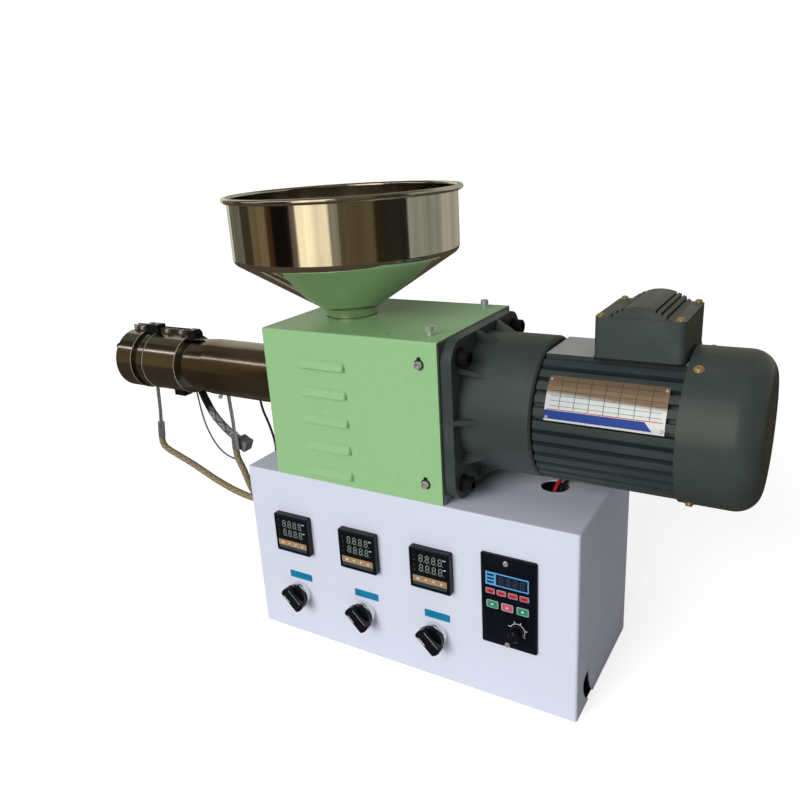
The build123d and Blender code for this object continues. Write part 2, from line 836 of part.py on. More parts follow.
with BuildPart() as fan_cowl:
    with BuildSketch(Plane.XZ):
        with BuildLine():
            shoulder_x = cowl_right_x - (cowl_radius - cowl_end_radius)
            Polyline(
                (cowl_right_x - cowl_sheet, motor_z),
                (cowl_right_x, motor_z),
                (cowl_right_x, motor_z + cowl_end_radius),
            )
            RadiusArc(
                (cowl_right_x, motor_z + cowl_end_radius),
                (shoulder_x, motor_z + cowl_radius),
                -(cowl_radius - cowl_end_radius),
            )
            Polyline(
                (shoulder_x, motor_z + cowl_radius),
                (stator_right_x, motor_z + cowl_radius),
                (stator_right_x, motor_z + cowl_radius - cowl_sheet),
                (shoulder_x, motor_z + cowl_radius - cowl_sheet),
            )
            RadiusArc(
                (shoulder_x, motor_z + cowl_radius - cowl_sheet),
                (cowl_right_x - cowl_sheet, motor_z + cowl_end_radius),
                cowl_radius - cowl_end_radius - cowl_sheet,
            )
            Line((cowl_right_x - cowl_sheet, motor_z + cowl_end_radius), (cowl_right_x - cowl_sheet, motor_z))
        make_face()
    revolve(axis=motor_axis)
    with BuildSketch(Plane.YZ.offset(cowl_right_x)):
        with Locations((0, motor_z)):
            with PolarLocations((grille_inner_radius + grille_outer_radius) / 2, grille_slots):
                SlotOverall(grille_outer_radius - grille_inner_radius, grille_slot_width)
    extrude(amount=-2 * cowl_sheet, mode=Mode.SUBTRACT)
save(fan_cowl, "fan_cowl")

fan_left_x = stator_right_x + end_shield_length + 1
with BuildPart() as cooling_fan:
    with BuildSketch(Plane.YZ.offset(fan_left_x)):
        with Locations((0, motor_z)):
            Circle(fan_hub_radius)
            with PolarLocations((fan_hub_radius + fan_radius) / 2 - 1, fan_blades):
                Rectangle(fan_radius - fan_hub_radius + 2, fan_blade_thickness)
            Circle(fan_shaft_radius, mode=Mode.SUBTRACT)
    extrude(amount=fan_length - 2)
save(cooling_fan, "cooling_fan")


# Junction box, lid and cable gland

with BuildPart() as junction_box:
    with BuildSketch(Plane.XY.offset(pad_top_z)):
        with Locations((junction_x, junction_y)):
            RectangleRounded(junction_length, junction_width, junction_corner)
    extrude(amount=junction_height)
save(junction_box, "junction_box")

lid_bottom_z = pad_top_z + junction_height
lid_top_z = lid_bottom_z + lid_thickness
arch_radius = ((arch_width / 2) ** 2 + arch_rise**2) / (2 * arch_rise)
groove_places = [
    (
        junction_x + side * (lid_groove_first_x + lid_groove_pitch * n),
        lid_top_z + arch_rise - arch_radius
        + math.sqrt(arch_radius**2 - (lid_groove_first_x + lid_groove_pitch * n) ** 2),
    )
    for side in (-1, 1)
    for n in range(3)
]
with BuildPart() as junction_lid:
    with BuildSketch(Plane.XY.offset(lid_bottom_z)):
        with Locations((junction_x, junction_y)):
            RectangleRounded(junction_length, junction_width, junction_corner)
    extrude(amount=lid_thickness)
    with BuildSketch(Plane.XZ.offset(junction_width / 2 - arch_inset - junction_y)):
        with BuildLine():
            ThreePointArc(
                (junction_x - arch_width / 2, lid_top_z),
                (junction_x, lid_top_z + arch_rise),
                (junction_x + arch_width / 2, lid_top_z),
            )
            Line((junction_x + arch_width / 2, lid_top_z), (junction_x - arch_width / 2, lid_top_z))
        make_face()
        with Locations(groove_places):
            Rectangle(lid_groove_width, 2 * lid_groove_depth, mode=Mode.SUBTRACT)
    extrude(amount=-(junction_width - 2 * arch_inset))
save(junction_lid, "junction_lid")

with BuildPart() as cable_gland:
    with BuildSketch(Plane.XZ.offset(-junction_width / 2 - junction_y)):
        with Locations((junction_x, pad_top_z + gland_height)):
            RegularPolygon(gland_radius, 6)
    extrude(amount=-gland_length)
save(cable_gland, "cable_gland")


# Thermocouple probes under the barrel, each with a ferrule at its lower end

probe_routes = (
    (
        (probe_1_top_x, 0.0, screw_z - band_1_radius + probe_seat),
        (probe_1_bend_x, 0.0, probe_bend_z),
        (probe_1_end_x, 0.0, probe_1_end_z),
    ),
    (
        (probe_2_top_x, 0.0, screw_z - barrel_radius + probe_seat),
        (probe_2_bend_x, 0.0, probe_bend_z),
        (probe_2_end_x, 0.0, probe_2_end_z),
    ),
)
for number, points in enumerate(probe_routes, start=1):
    lower = Vector(*points[2])
    with BuildPart() as probe:
        with BuildLine() as route:
            FilletPolyline(*points, radius=probe_bend_radius)
        with BuildSketch(Plane(origin=points[0], z_dir=Vector(*points[1]) - Vector(*points[0]))):
            Circle(probe_diameter / 2)
        sweep(path=route.wires()[0])
        with BuildSketch(Plane(origin=lower, z_dir=Vector(*points[1]) - lower)):
            Circle(ferrule_diameter / 2)
        extrude(amount=ferrule_length)
    save(probe, f"thermocouple_probe_{number}")

with BuildPart() as connector_block:
    with BuildSketch(connector_plane):
        Rectangle(connector_length, connector_width)
    extrude(amount=connector_width / 2, both=True)
save(connector_block, "connector_block")


# Sleeves and wires, each along the route it hangs in

save_cord(
    [
        (-451.0, 0.0, 179.0),
        (-451.95, 0.0, 172.5),
        (-449.8, 0.0, 166.5),
        (-443.5, 0.0, 161.5),
        (-430.0, 0.0, 156.8),
        (-390.0, -2.0, 145.9),
        (-347.0, -5.0, 131.0),
        (-304.0, -8.0, 121.2),
        (-268.0, -11.0, 119.5),
        (-238.0, -13.0, 122.0),
        (-218.0, -14.0, 125.0),
        (-202.0, -14.0, 125.0),
    ],
    sleeve_diameter,
    "thermocouple_sleeve_1",
)
save_cord(
    [
        (-306.3, 0.0, 183.0),
        (-306.58, 0.0, 174.5),
        (-303.2, 0.0, 165.5),
        (-297.0, 0.5, 152.5),
        (-292.5, 1.0, 137.0),
        (-288.0, 3.0, 122.0),
        (-278.0, 6.0, 109.0),
        (-258.0, 10.0, 101.0),
        (-234.0, 13.0, 98.5),
        (-216.0, 14.0, 99.5),
        (-202.0, 14.0, 99.5),
    ],
    sleeve_diameter,
    "thermocouple_sleeve_2",
)
save_cord(
    [
        (-380.0, 20.0, 266.0),
        (-375.5, 18.0, 253.5),
        (-364.0, 13.5, 241.0),
        (-351.0, 11.0, 223.5),
        (-335.0, 12.5, 206.0),
        (-321.44, 14.0, 195.3),
        (-310.563, 14.0, 190.226),
    ],
    heater_sleeve_diameter,
    "heater_sleeve",
)
save_cord(
    [
        (-369.0, 3.0, 261.0),
        (-366.5, 2.0, 249.0),
        (-363.0, 1.0, 230.0),
        (-357.0, 0.0, 209.0),
        (-347.5, 0.0, 190.0),
        (-335.5, 0.0, 176.5),
        (-321.5, 0.0, 169.0),
        (-307.4, 0.0, 167.3),
    ],
    earth_wire_diameter,
    "earth_wire",
)
save_cord(
    [
        (-251.5, 0.0, 263.2),
        (-249.8, -1.0, 250.5),
        (-236.5, -6.0, 233.5),
        (-225.5, -11.5, 217.0),
        (-219.5, -16.0, 204.0),
        (-220.5, -19.0, 192.0),
        (-213.0, -22.0, 181.5),
        (-202.0, -22.0, 181.5),
    ],
    heater_wire_diameter,
    "heater_wire",
)
save_cord(
    [
        (144.0, -4.0, 200.0),
        (146.0, 0.0, 213.0),
        (152.5, 15.0, 224.0),
        (161.0, 38.0, 234.5),
        (170.5, 61.0, 250.0),
        (181.0, 77.5, 277.0),
        (193.0, 84.0, 310.0),
        (206.0, 84.5, 341.0),
        (218.0, 84.0, 364.0),
        (226.5, 81.0, 378.0),
        (231.5, 72.0, 386.0),
        (231.5, 58.0, 386.0),
    ],
    lead_diameter,
    "motor_lead_red",
)
save_cord(
    [
        (149.0, -2.0, 200.0),
        (151.5, 2.0, 212.5),
        (158.5, 17.0, 222.0),
        (167.5, 40.0, 233.0),
        (177.5, 63.0, 249.5),
        (188.0, 80.0, 277.0),
        (199.5, 88.0, 310.0),
        (212.0, 89.5, 340.0),
        (224.0, 89.0, 364.0),
        (232.5, 84.5, 378.5),
        (236.5, 74.0, 386.0),
        (236.5, 58.0, 386.0),
    ],
    lead_diameter,
    "motor_lead_black",
)
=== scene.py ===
import math

import bmesh
import bpy
from mathutils import Matrix, Vector


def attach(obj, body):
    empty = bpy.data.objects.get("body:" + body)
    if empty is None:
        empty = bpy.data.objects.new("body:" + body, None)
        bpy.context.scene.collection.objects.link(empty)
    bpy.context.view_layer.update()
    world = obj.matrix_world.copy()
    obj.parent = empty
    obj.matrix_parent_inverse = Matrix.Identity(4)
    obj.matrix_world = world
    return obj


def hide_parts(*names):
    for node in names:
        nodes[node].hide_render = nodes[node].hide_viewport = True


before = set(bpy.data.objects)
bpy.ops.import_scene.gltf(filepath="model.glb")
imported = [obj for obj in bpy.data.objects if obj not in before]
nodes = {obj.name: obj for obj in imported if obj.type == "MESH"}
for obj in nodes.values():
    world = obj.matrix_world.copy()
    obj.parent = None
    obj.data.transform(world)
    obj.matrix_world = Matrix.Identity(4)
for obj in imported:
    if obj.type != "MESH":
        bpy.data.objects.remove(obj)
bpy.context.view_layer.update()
scene = bpy.context.scene
scene.view_settings.view_transform = "Standard"

# Sizes of pieces are in millimetres until a piece is finished. The studio and the finishes are in metres.
MM = 0.001


# Node trees written as Python: one class wraps a socket, one makes the nodes


class Wire:
    """A socket of a node tree that takes part in arithmetic."""

    def __init__(self, board, socket):
        self.board = board
        self.socket = socket

    def __add__(self, other):
        return self.board.maths("ADD", self, other)

    def __radd__(self, other):
        return self.board.maths("ADD", other, self)

    def __sub__(self, other):
        return self.board.maths("SUBTRACT", self, other)

    def __rsub__(self, other):
        return self.board.maths("SUBTRACT", other, self)

    def __mul__(self, other):
        return self.board.maths("MULTIPLY", self, other)

    def __rmul__(self, other):
        return self.board.maths("MULTIPLY", other, self)

    def __gt__(self, other):
        return self.board.maths("GREATER_THAN", self, other)

    def __lt__(self, other):
        return self.board.maths("LESS_THAN", self, other)

    def sine(self):
        return self.board.maths("SINE", self)

    def size(self):
        return self.board.maths("ABSOLUTE", self)

    def fraction(self):
        return self.board.maths("FRACT", self)

    def most(self, other):
        return self.board.maths("MAXIMUM", self, other)

    def band(self, low, high):
        """1 between low and high, and 0 outside."""
        return (self > low) * (self < high)


class Board:
    """A node tree: any node comes from node(), and values meet in maths()."""

    def __init__(self, tree):
        self.tree = tree

    def node(self, kind, settings=None, inputs=None, out=0):
        made = self.tree.nodes.new(kind)
        for label, value in (settings or {}).items():
            setattr(made, label, value)
        for label, value in (inputs or {}).items():
            if isinstance(value, Wire):
                self.tree.links.new(value.socket, made.inputs[label])
            else:
                made.inputs[label].default_value = value
        return Wire(self, made.outputs[out] if made.outputs else None)

    def maths(self, operation, *values):
        return self.node("ShaderNodeMath", {"operation": operation}, dict(enumerate(values)))

    def spread(self, value, low, high, start=0.0, end=1.0):
        """A value from low to high laid out evenly from start to end, and held there."""
        places = {"Value": value, "From Min": low, "From Max": high, "To Min": start, "To Max": end}
        return self.node("ShaderNodeMapRange", {"clamp": True}, places)


class Finish(Board):
    """A surface finish: a material with one glossy shader whose sockets it sets."""

    def __init__(self, name, **plain):
        self.material = bpy.data.materials.new(name)
        self.material.use_nodes = True
        super().__init__(self.material.node_tree)
        self.shader = self.tree.nodes["Principled BSDF"]
        self.place = self.node("ShaderNodeTexCoord", out="Object")
        for label, value in plain.items():
            self.set(label.replace("_", " ").title(), value)

    def set(self, label, value):
        if isinstance(value, Wire):
            self.tree.links.new(value.socket, self.shader.inputs[label])
        elif isinstance(value, tuple):
            self.shader.inputs[label].default_value = (*value, 1)
        else:
            self.shader.inputs[label].default_value = value

    def grain(self, scale, detail=2.0, stretch=(1, 1, 1), rough=0.5):
        """Noise from 0 to 1 about the middle, so many lumps to the metre, drawn out along an axis."""
        mapped = self.node("ShaderNodeMapping", inputs={"Vector": self.place, "Scale": stretch})
        sizes = {"Vector": mapped, "Scale": scale, "Detail": detail, "Roughness": rough}
        return self.node("ShaderNodeTexNoise", {"normalize": True}, sizes)

    def mix(self, amount, first, second):
        """The first colour where amount is 0 and the second where it is 1."""
        colours = {0: amount, 6: self.colour(first), 7: self.colour(second)}
        return self.node("ShaderNodeMix", {"data_type": "RGBA"}, colours, out=2)

    def colour(self, value):
        return (*value, 1) if isinstance(value, tuple) else value

    def unrolled(self):
        """The two numbers of a piece's own map, each on its own wire."""
        split = self.node("ShaderNodeSeparateXYZ", inputs={0: self.node("ShaderNodeTexCoord", out="UV")})
        return [Wire(self, socket) for socket in split.socket.node.outputs[:2]]

    def bump(self, height, depth):
        """Raise the surface by a height from 0 to 1 times a depth in metres."""
        self.set("Normal", self.node("ShaderNodeBump", inputs={"Height": height, "Distance": depth}))


def srgb(red, green, blue):
    """A colour from its screen values, 0 to 255, to the linear ones that shaders take."""
    parts = [value / 255 for value in (red, green, blue)]
    return tuple(v / 12.92 if v < 0.04045 else ((v + 0.055) / 1.055) ** 2.4 for v in parts)


def powder_coat(name, colour, dusty, roughness, lumps=700.0, lump_depth=0.00003):
    """Sprayed and baked paint: orange peel, faint mottling and a little dust."""
    finish = Finish(name)
    cloud = finish.grain(9.0, 4.0)
    speck = finish.grain(160.0, 3.0)
    worn = finish.spread(cloud, 0.2, 0.9) * 0.5 + finish.spread(speck, 0.55, 0.8) * 0.15
    finish.set("Base Color", finish.mix(worn, colour, dusty))
    finish.set("Roughness", finish.spread(cloud, 0.2, 0.8, roughness - 0.06, roughness + 0.08))
    finish.bump(finish.grain(lumps, 1.0), lump_depth)
    return finish


def cast_paint(name, colour, worn_colour, roughness, grain_depth, pale_above=None):
    """Satin enamel over a casting: sand grain, rubbed patches, and a pale grey above a height."""
    finish = Finish(name)
    cloud = finish.grain(22.0, 5.0)
    sand = finish.grain(900.0, 2.0, rough=0.6)
    rubbed = finish.spread(cloud, 0.52, 0.72)
    paint = finish.mix(rubbed * 0.6 + finish.spread(sand, 0.55, 0.8) * 0.3, colour, worn_colour)
    if pale_above:
        height = finish.node("ShaderNodeSeparateXYZ", inputs={0: finish.place}, out="Z")
        paint = finish.mix(height > pale_above, paint, srgb(184, 188, 188))
    finish.set("Base Color", paint)
    finish.set("Roughness", finish.spread(cloud, 0.25, 0.75, roughness - 0.08, roughness + 0.1))
    finish.bump(sand + finish.grain(240.0, 2.0) * 0.6, grain_depth)
    return finish


def turned_steel(name, colour, tint, roughness, stretch=(1, 1, 1), fineness=900.0, depth=0.00001):
    """Bare steel with the fine lines of its turning or polishing, drawn out along them."""
    finish = Finish(name, metallic=1.0)
    lines = finish.grain(fineness, 3.0, stretch)
    cloud = finish.grain(14.0, 4.0)
    finish.set("Base Color", finish.mix(finish.spread(cloud, 0.35, 0.7), colour, tint))
    finish.set("Roughness", finish.spread(lines, 0.3, 0.7, roughness * 0.7, roughness * 1.4))
    finish.bump(lines, depth)
    return finish


def plastic(name, colour, pale, roughness, grain_scale=1500.0, grain_depth=0.00002):
    """Moulded plastic with a spark-eroded grain and a trace of handling."""
    finish = Finish(name)
    cloud = finish.grain(30.0, 4.0)
    finish.set("Base Color", finish.mix(finish.spread(cloud, 0.4, 0.8), colour, pale))
    finish.set("Roughness", finish.spread(cloud, 0.3, 0.7, roughness - 0.05, roughness + 0.1))
    finish.bump(finish.grain(grain_scale, 2.0), grain_depth)
    return finish


def braid(name, dark, pale, carriers, pitch, depth, bound=0.0):
    """A braided sleeve: two families of strands that cross, and a dark binding so many metres long."""
    finish = Finish(name)
    turns, metres = finish.unrolled()
    around = turns * (carriers * math.tau)
    along = metres * (math.tau / pitch)
    left = ((around + along) * 0.5).sine().size()
    right = ((around - along) * 0.5).sine().size()
    over = ((around * 0.5).sine() * (along * 0.5).sine()) > 0.0
    height = left * over + right * (1.0 - over)
    thread = finish.grain(2600.0, 3.0)
    shade = finish.spread(height, 0.15, 0.95) * 0.75 + finish.spread(thread, 0.3, 0.7) * 0.3
    if bound:
        shade = shade * finish.spread(metres, bound, bound + 0.012)
    finish.set("Base Color", finish.mix(shade, dark, pale))
    finish.set("Roughness", finish.spread(height, 0.0, 1.0, 0.75, 0.60))
    finish.bump(height + thread * 0.25, depth)
    return finish


white_coat = powder_coat("white_powder_coat", srgb(229, 233, 250), srgb(222, 226, 242), 0.36)
green_coat = powder_coat("green_powder_coat", srgb(160, 208, 150), srgb(154, 202, 144), 0.27, 900.0, 0.00003)
motor_enamel = cast_paint("motor_enamel", srgb(62, 71, 69), srgb(76, 85, 82), 0.38, 0.00010)
stator_enamel = cast_paint("stator_enamel", srgb(54, 64, 65), srgb(68, 77, 77), 0.38, 0.00010, 0.3679)
cover_enamel = cast_paint("cover_enamel", srgb(64, 73, 71), srgb(76, 84, 82), 0.32, 0.00002)
zinc = turned_steel("zinc_plate", (0.42, 0.43, 0.44), (0.36, 0.37, 0.38), 0.38, fineness=60.0)
machined = turned_steel("machined_steel", (0.55, 0.55, 0.54), (0.45, 0.45, 0.45), 0.30, (8, 1, 1))
# The barrel's warm brown, darker in patches, is partly heat tint and partly a painted reflection of a brown
# room.
barrel_tint_and_reflection = turned_steel("heat_tinted_barrel", (0.44, 0.40, 0.36), (0.29, 0.24, 0.20), 0.17, (12, 1, 1))
mirror = turned_steel(
    "polished_stainless", (0.90, 0.87, 0.82), (0.85, 0.82, 0.77), 0.08, (1, 1, 0.05), 500.0, 0.000003
)
clamp_steel = turned_steel("clamp_steel", (0.52, 0.50, 0.46), (0.36, 0.33, 0.29), 0.15, (1, 8, 1))
chrome = turned_steel(
    "chromed_brass", (0.82, 0.82, 0.83), (0.76, 0.76, 0.78), 0.09, (1, 6, 1), 700.0, 0.000004
)
bright_screw = turned_steel("bright_screw", (0.80, 0.79, 0.77), (0.66, 0.66, 0.65), 0.26, fineness=400.0)
bright_screw.set("Metallic", 0.6)
screw_chrome = turned_steel("screw_chrome", (0.94, 0.94, 0.95), (0.86, 0.86, 0.88), 0.20, fineness=400.0)
screw_chrome.set("Metallic", 0.72)
brass = turned_steel("yellow_zinc", (0.72, 0.56, 0.28), (0.60, 0.42, 0.20), 0.26, fineness=400.0)
brass.set("Metallic", 0.7)
black_oxide = plastic("black_oxide", (0.008, 0.008, 0.009), (0.014, 0.014, 0.015), 0.34, 700.0, 0.00001)
black_oxide.set("Specular IOR Level", 0.12)
dark_probe = turned_steel("probe_steel", (0.62, 0.62, 0.62), (0.46, 0.46, 0.46), 0.22, (1, 1, 8))
dark_probe.set("Metallic", 0.8)
black_case = plastic("black_case", (0.004, 0.006, 0.010), (0.008, 0.010, 0.015), 0.30)
black_case.set("Specular IOR Level", 0.25)
black_gloss = plastic("black_gloss", (0.006, 0.007, 0.010), (0.010, 0.011, 0.014), 0.14, 400.0, 0.000004)
black_gloss.set("Specular IOR Level", 0.35)
smoked_window = plastic("smoked_window", (0.004, 0.005, 0.008), (0.007, 0.008, 0.012), 0.12, 300.0, 0.000002)
panel_film = plastic("panel_film", (0.002, 0.004, 0.010), (0.003, 0.006, 0.013), 0.20, 1800.0, 0.000005)
grey_segment = plastic("grey_segment", srgb(132, 142, 138), srgb(112, 122, 118), 0.45)
dim_segment = plastic("dim_segment", srgb(66, 74, 62), srgb(52, 60, 50), 0.45)
white_print = plastic("white_print", srgb(222, 224, 226), srgb(200, 203, 206), 0.45)
dark_print = plastic("dark_print", srgb(120, 24, 44), srgb(104, 18, 36), 0.45)
tan_film = plastic("tan_film", srgb(176, 142, 104), srgb(160, 128, 94), 0.40)
slate_film = plastic("slate_film", srgb(52, 74, 84), srgb(40, 58, 68), 0.40)
sky_film = plastic("sky_film", srgb(96, 172, 226), srgb(80, 156, 212), 0.35)
navy_film = plastic("navy_film", srgb(12, 26, 60), srgb(16, 32, 68), 0.30)
red_key = plastic("red_key", srgb(216, 62, 84), srgb(196, 48, 70), 0.35)
rose_key = plastic("rose_key", srgb(206, 96, 120), srgb(190, 80, 104), 0.35)
green_key = plastic("green_key", srgb(40, 150, 112), srgb(30, 132, 98), 0.35)
key_rim = plastic("key_rim", srgb(176, 186, 184), srgb(156, 166, 166), 0.40)
blue_label = plastic("blue_label", srgb(10, 128, 172), srgb(24, 144, 184), 0.32, 500.0, 0.000010)
slot_shadow = plastic("slot_shadow", (0.004, 0.016, 0.008), (0.008, 0.022, 0.012), 0.7)
rubber = plastic("rubber", (0.010, 0.010, 0.010), (0.018, 0.018, 0.018), 0.62)
ceramic = plastic("grey_ceramic", srgb(120, 120, 122), srgb(142, 142, 142), 0.42, 700.0, 0.00003)
red_wire = plastic("red_insulation", (0.55, 0.020, 0.018), (0.42, 0.015, 0.014), 0.38)
black_wire = plastic("black_insulation", (0.012, 0.012, 0.012), (0.022, 0.022, 0.022), 0.42)
grey_wire = plastic("grey_insulation", srgb(104, 104, 102), srgb(88, 88, 86), 0.46)
tan_braid = braid("tan_glass_braid", srgb(92, 78, 52), srgb(176, 160, 126), 8, 0.0052, 0.00035)
black_braid = braid("black_glass_braid", srgb(14, 14, 14), srgb(150, 152, 152), 6, 0.0105, 0.00045, 0.040)


# From data to objects of the scene


def add_object(name, data):
    made = bpy.data.objects.new(name, data)
    scene.collection.objects.link(made)
    return made


def as_mesh(name, shape, finish):
    """The mesh of a finished shape, whose working data is freed."""
    mesh = bpy.data.meshes.new(name)
    shape.to_mesh(mesh)
    shape.free()
    mesh.materials.append(finish.material)
    return mesh


# The camera that was fitted to the photograph


def add_camera():
    lens = bpy.data.cameras.new("photograph")
    lens.lens = 33.95
    lens.sensor_width = 36.0
    lens.clip_start = 0.01
    camera = add_object("photograph", lens)
    camera.matrix_world = Matrix(
        (
            (0.85872, -0.11770, 0.49875, 0.39080),
            (0.50923, 0.30492, -0.80480, -0.69376),
            (-0.05736, 0.94508, 0.32178, 0.56407),
            (0.0, 0.0, 0.0, 1.0),
        )
    )
    scene.camera = camera


add_camera()


# Cords, sleeves and wires, each one smooth line with a tube along it


def smooth_line(name, route):
    """The points of a smooth curve that has the route's points as its control points."""
    curve = bpy.data.curves.new(name + "_line", "CURVE")
    curve.dimensions = "3D"
    curve.resolution_u = 16
    line = curve.splines.new("NURBS")
    line.points.add(len(route) - 1)
    for point, place in zip(line.points, route):
        point.co = (*place, 1)
    line.order_u = 3
    line.use_endpoint_u = True
    carrier = add_object(name + "_line", curve)
    drawn = bpy.data.meshes.new_from_object(carrier.evaluated_get(bpy.context.evaluated_depsgraph_get()))
    points = [vertex.co.copy() for vertex in drawn.vertices]
    bpy.data.objects.remove(carrier)
    bpy.data.curves.remove(curve)
    bpy.data.meshes.remove(drawn)
    return points


def tube(name, points, width, thickness, finish):
    """A tube along the points, closed at its ends. Its map runs once round it, and along it in metres."""
    steps = 20
    shape = bmesh.new()
    across = shape.loops.layers.uv.new("UVMap")
    side = Vector((0, 1, 0))
    rings, lengths = [], [0.0]
    for number, here in enumerate(points):
        before = points[max(number - 1, 0)]
        after = points[min(number + 1, len(points) - 1)]
        ahead = (after - before).normalized()
        side = (side - ahead * side.dot(ahead)).normalized()
        up = ahead.cross(side)
        ring = []
        for step in range(steps):
            turn = math.tau * step / steps
            offset = side * (math.cos(turn) * width / 2) + up * (math.sin(turn) * thickness / 2)
            ring.append(shape.verts.new(here + offset))
        rings.append(ring)
        if number:
            lengths.append(lengths[-1] + (here - before).length)
    for number in range(len(rings) - 1):
        for step in range(steps):
            beside = (step + 1) % steps
            corners = ((step, number), (step + 1, number), (step + 1, number + 1), (step, number + 1))
            here, beyond = rings[number], rings[number + 1]
            face = shape.faces.new((here[step], here[beside], beyond[beside], beyond[step]))
            face.smooth = True
            for loop, (turned, row) in zip(face.loops, corners):
                loop[across].uv = (turned / steps, lengths[row])
    shape.faces.new(reversed(rings[0]))
    shape.faces.new(rings[-1])
    bmesh.ops.recalc_face_normals(shape, faces=shape.faces)
    return add_object(name, as_mesh(name, shape, finish))


def hang_cord(node, diameter, finish, route, flat=1.0):
    """A cord along its route in millimetres, in the place of its CAD node."""
    route = [tuple(value * MM for value in place) for place in route]
    points = smooth_line(node, route)
    made = tube(node + "_cord", points, diameter * flat * MM, diameter * MM, finish)
    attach(made, "machine")
    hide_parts(node)


hang_cord(
    "thermocouple_sleeve_1", 9.0, tan_braid,
    [
        (-451.0, 0.0, 179.0), (-451.95, 0.0, 172.5), (-449.8, 0.0, 166.5),
        (-443.5, 0.0, 161.5), (-430.0, 0.0, 156.8), (-390.0, -2.0, 145.9),
        (-347.0, -5.0, 131.0), (-304.0, -8.0, 121.2), (-268.0, -11.0, 119.5),
        (-238.0, -13.0, 122.0), (-218.0, -14.0, 125.0), (-202.0, -14.0, 125.0),
    ],
)
hang_cord(
    "thermocouple_sleeve_2", 9.0, tan_braid,
    [
        (-306.3, 0.0, 183.0), (-306.58, 0.0, 174.5), (-303.2, 0.0, 165.5),
        (-297.0, 0.5, 152.5), (-292.5, 1.0, 137.0), (-288.0, 3.0, 122.0),
        (-278.0, 6.0, 109.0), (-258.0, 10.0, 101.0), (-234.0, 13.0, 98.5),
        (-216.0, 14.0, 99.5), (-202.0, 14.0, 99.5),
    ],
)
hang_cord(
    "heater_sleeve", 13.0, black_braid,
    [
        (-380.0, 20.0, 266.0), (-375.5, 18.0, 253.5), (-364.0, 13.5, 241.0),
        (-351.0, 11.0, 223.5), (-335.0, 12.5, 206.0), (-321.44, 14.0, 195.3),
        (-310.563, 14.0, 190.226),
    ],
    flat=0.6,
)
hang_cord(
    "earth_wire", 2.3, grey_wire,
    [
        (-369.0, 3.0, 261.0), (-366.5, 2.0, 249.0), (-363.0, 1.0, 230.0),
        (-357.0, 0.0, 209.0), (-347.5, 0.0, 190.0), (-335.5, 0.0, 176.5),
        (-321.5, 0.0, 169.0), (-307.4, 0.0, 167.3),
    ],
)
hang_cord(
    "heater_wire", 3.2, black_wire,
    [
        (-251.5, 0.0, 263.2), (-249.8, -1.0, 250.5), (-236.5, -6.0, 233.5),
        (-225.5, -11.5, 217.0), (-219.5, -16.0, 204.0), (-220.5, -19.0, 192.0),
        (-213.0, -22.0, 181.5), (-202.0, -22.0, 181.5),
    ],
)
hang_cord(
    "motor_lead_red", 4.0, red_wire,
    [
        (144.0, -4.0, 200.0), (146.0, 0.0, 213.0), (152.5, 15.0, 224.0),
        (161.0, 38.0, 234.5), (170.5, 61.0, 250.0), (181.0, 77.5, 277.0),
        (193.0, 84.0, 310.0), (206.0, 84.5, 341.0), (218.0, 84.0, 364.0),
        (226.5, 81.0, 378.0), (231.5, 72.0, 386.0), (231.5, 58.0, 386.0),
    ],
)
hang_cord(
    "motor_lead_black", 4.0, black_wire,
    [
        (149.0, -2.0, 200.0), (151.5, 2.0, 212.5), (158.5, 17.0, 222.0),
        (167.5, 40.0, 233.0), (177.5, 63.0, 249.5), (188.0, 80.0, 277.0),
        (199.5, 88.0, 310.0), (212.0, 89.5, 340.0), (224.0, 89.0, 364.0),
        (232.5, 84.5, 378.5), (236.5, 74.0, 386.0), (236.5, 58.0, 386.0),
    ],
)


# Finishes of the pieces that stay as they are

FINISH_OF = {
    white_coat: ("control_box",),
    green_coat: ("hood", "hood_top"),
    zinc: ("bottom_plate", "motor_bracket"),
    machined: ("feed_block", "feed_throat", "bearing_housing", "feed_screw", "die_plate", "nozzle"),
    barrel_tint_and_reflection: ("barrel",),
    clamp_steel: ("heater_band_1", "heater_band_2"),
    black_oxide: ("terminal_blocks",),
    dark_probe: ("thermocouple_probe_1", "thermocouple_probe_2"),
    mirror: ("hopper_bin", "hopper_funnel"),
    motor_enamel: ("gear_housing", "adapter_ring"),
    stator_enamel: ("stator_frame",),
    cover_enamel: ("fan_cowl", "junction_box", "junction_lid"),
    rubber: ("cooling_fan", "cable_gland"),
    black_case: (
        "speed_panel", "temperature_controller_1", "temperature_controller_2", "temperature_controller_3",
    ),
    black_gloss: ("switch_knob_1", "switch_knob_2", "switch_knob_3", "speed_knob"),
    chrome: ("switch_bezel_1", "switch_bezel_2", "switch_bezel_3"),
    ceramic: ("connector_block",),
}
for finish, names in FINISH_OF.items():
    for name in names:
        mesh = nodes[name].data
        mesh.materials.clear()
        mesh.materials.append(finish.material)


# Pieces made of flat slabs


def rounded(x, z, width, height, radius=0.0):
    """The outline of a rectangle about a point, with round corners."""
    steps = 5
    points = []
    for number, (sx, sz) in enumerate(((1, 1), (-1, 1), (-1, -1), (1, -1))):
        centre = Vector((x + sx * (width / 2 - radius), z + sz * (height / 2 - radius)))
        if not radius:
            points.append(centre)
            continue
        for step in range(steps + 1):
            turn = math.radians(90 * (number + step / steps))
            points.append(centre + Vector((math.cos(turn), math.sin(turn))) * radius)
    return points


def disc(x, z, radius, steps):
    """The outline of a round plate about a point."""
    turns = [math.tau * step / steps for step in range(steps)]
    return [Vector((x + radius * math.cos(turn), z + radius * math.sin(turn))) for turn in turns]


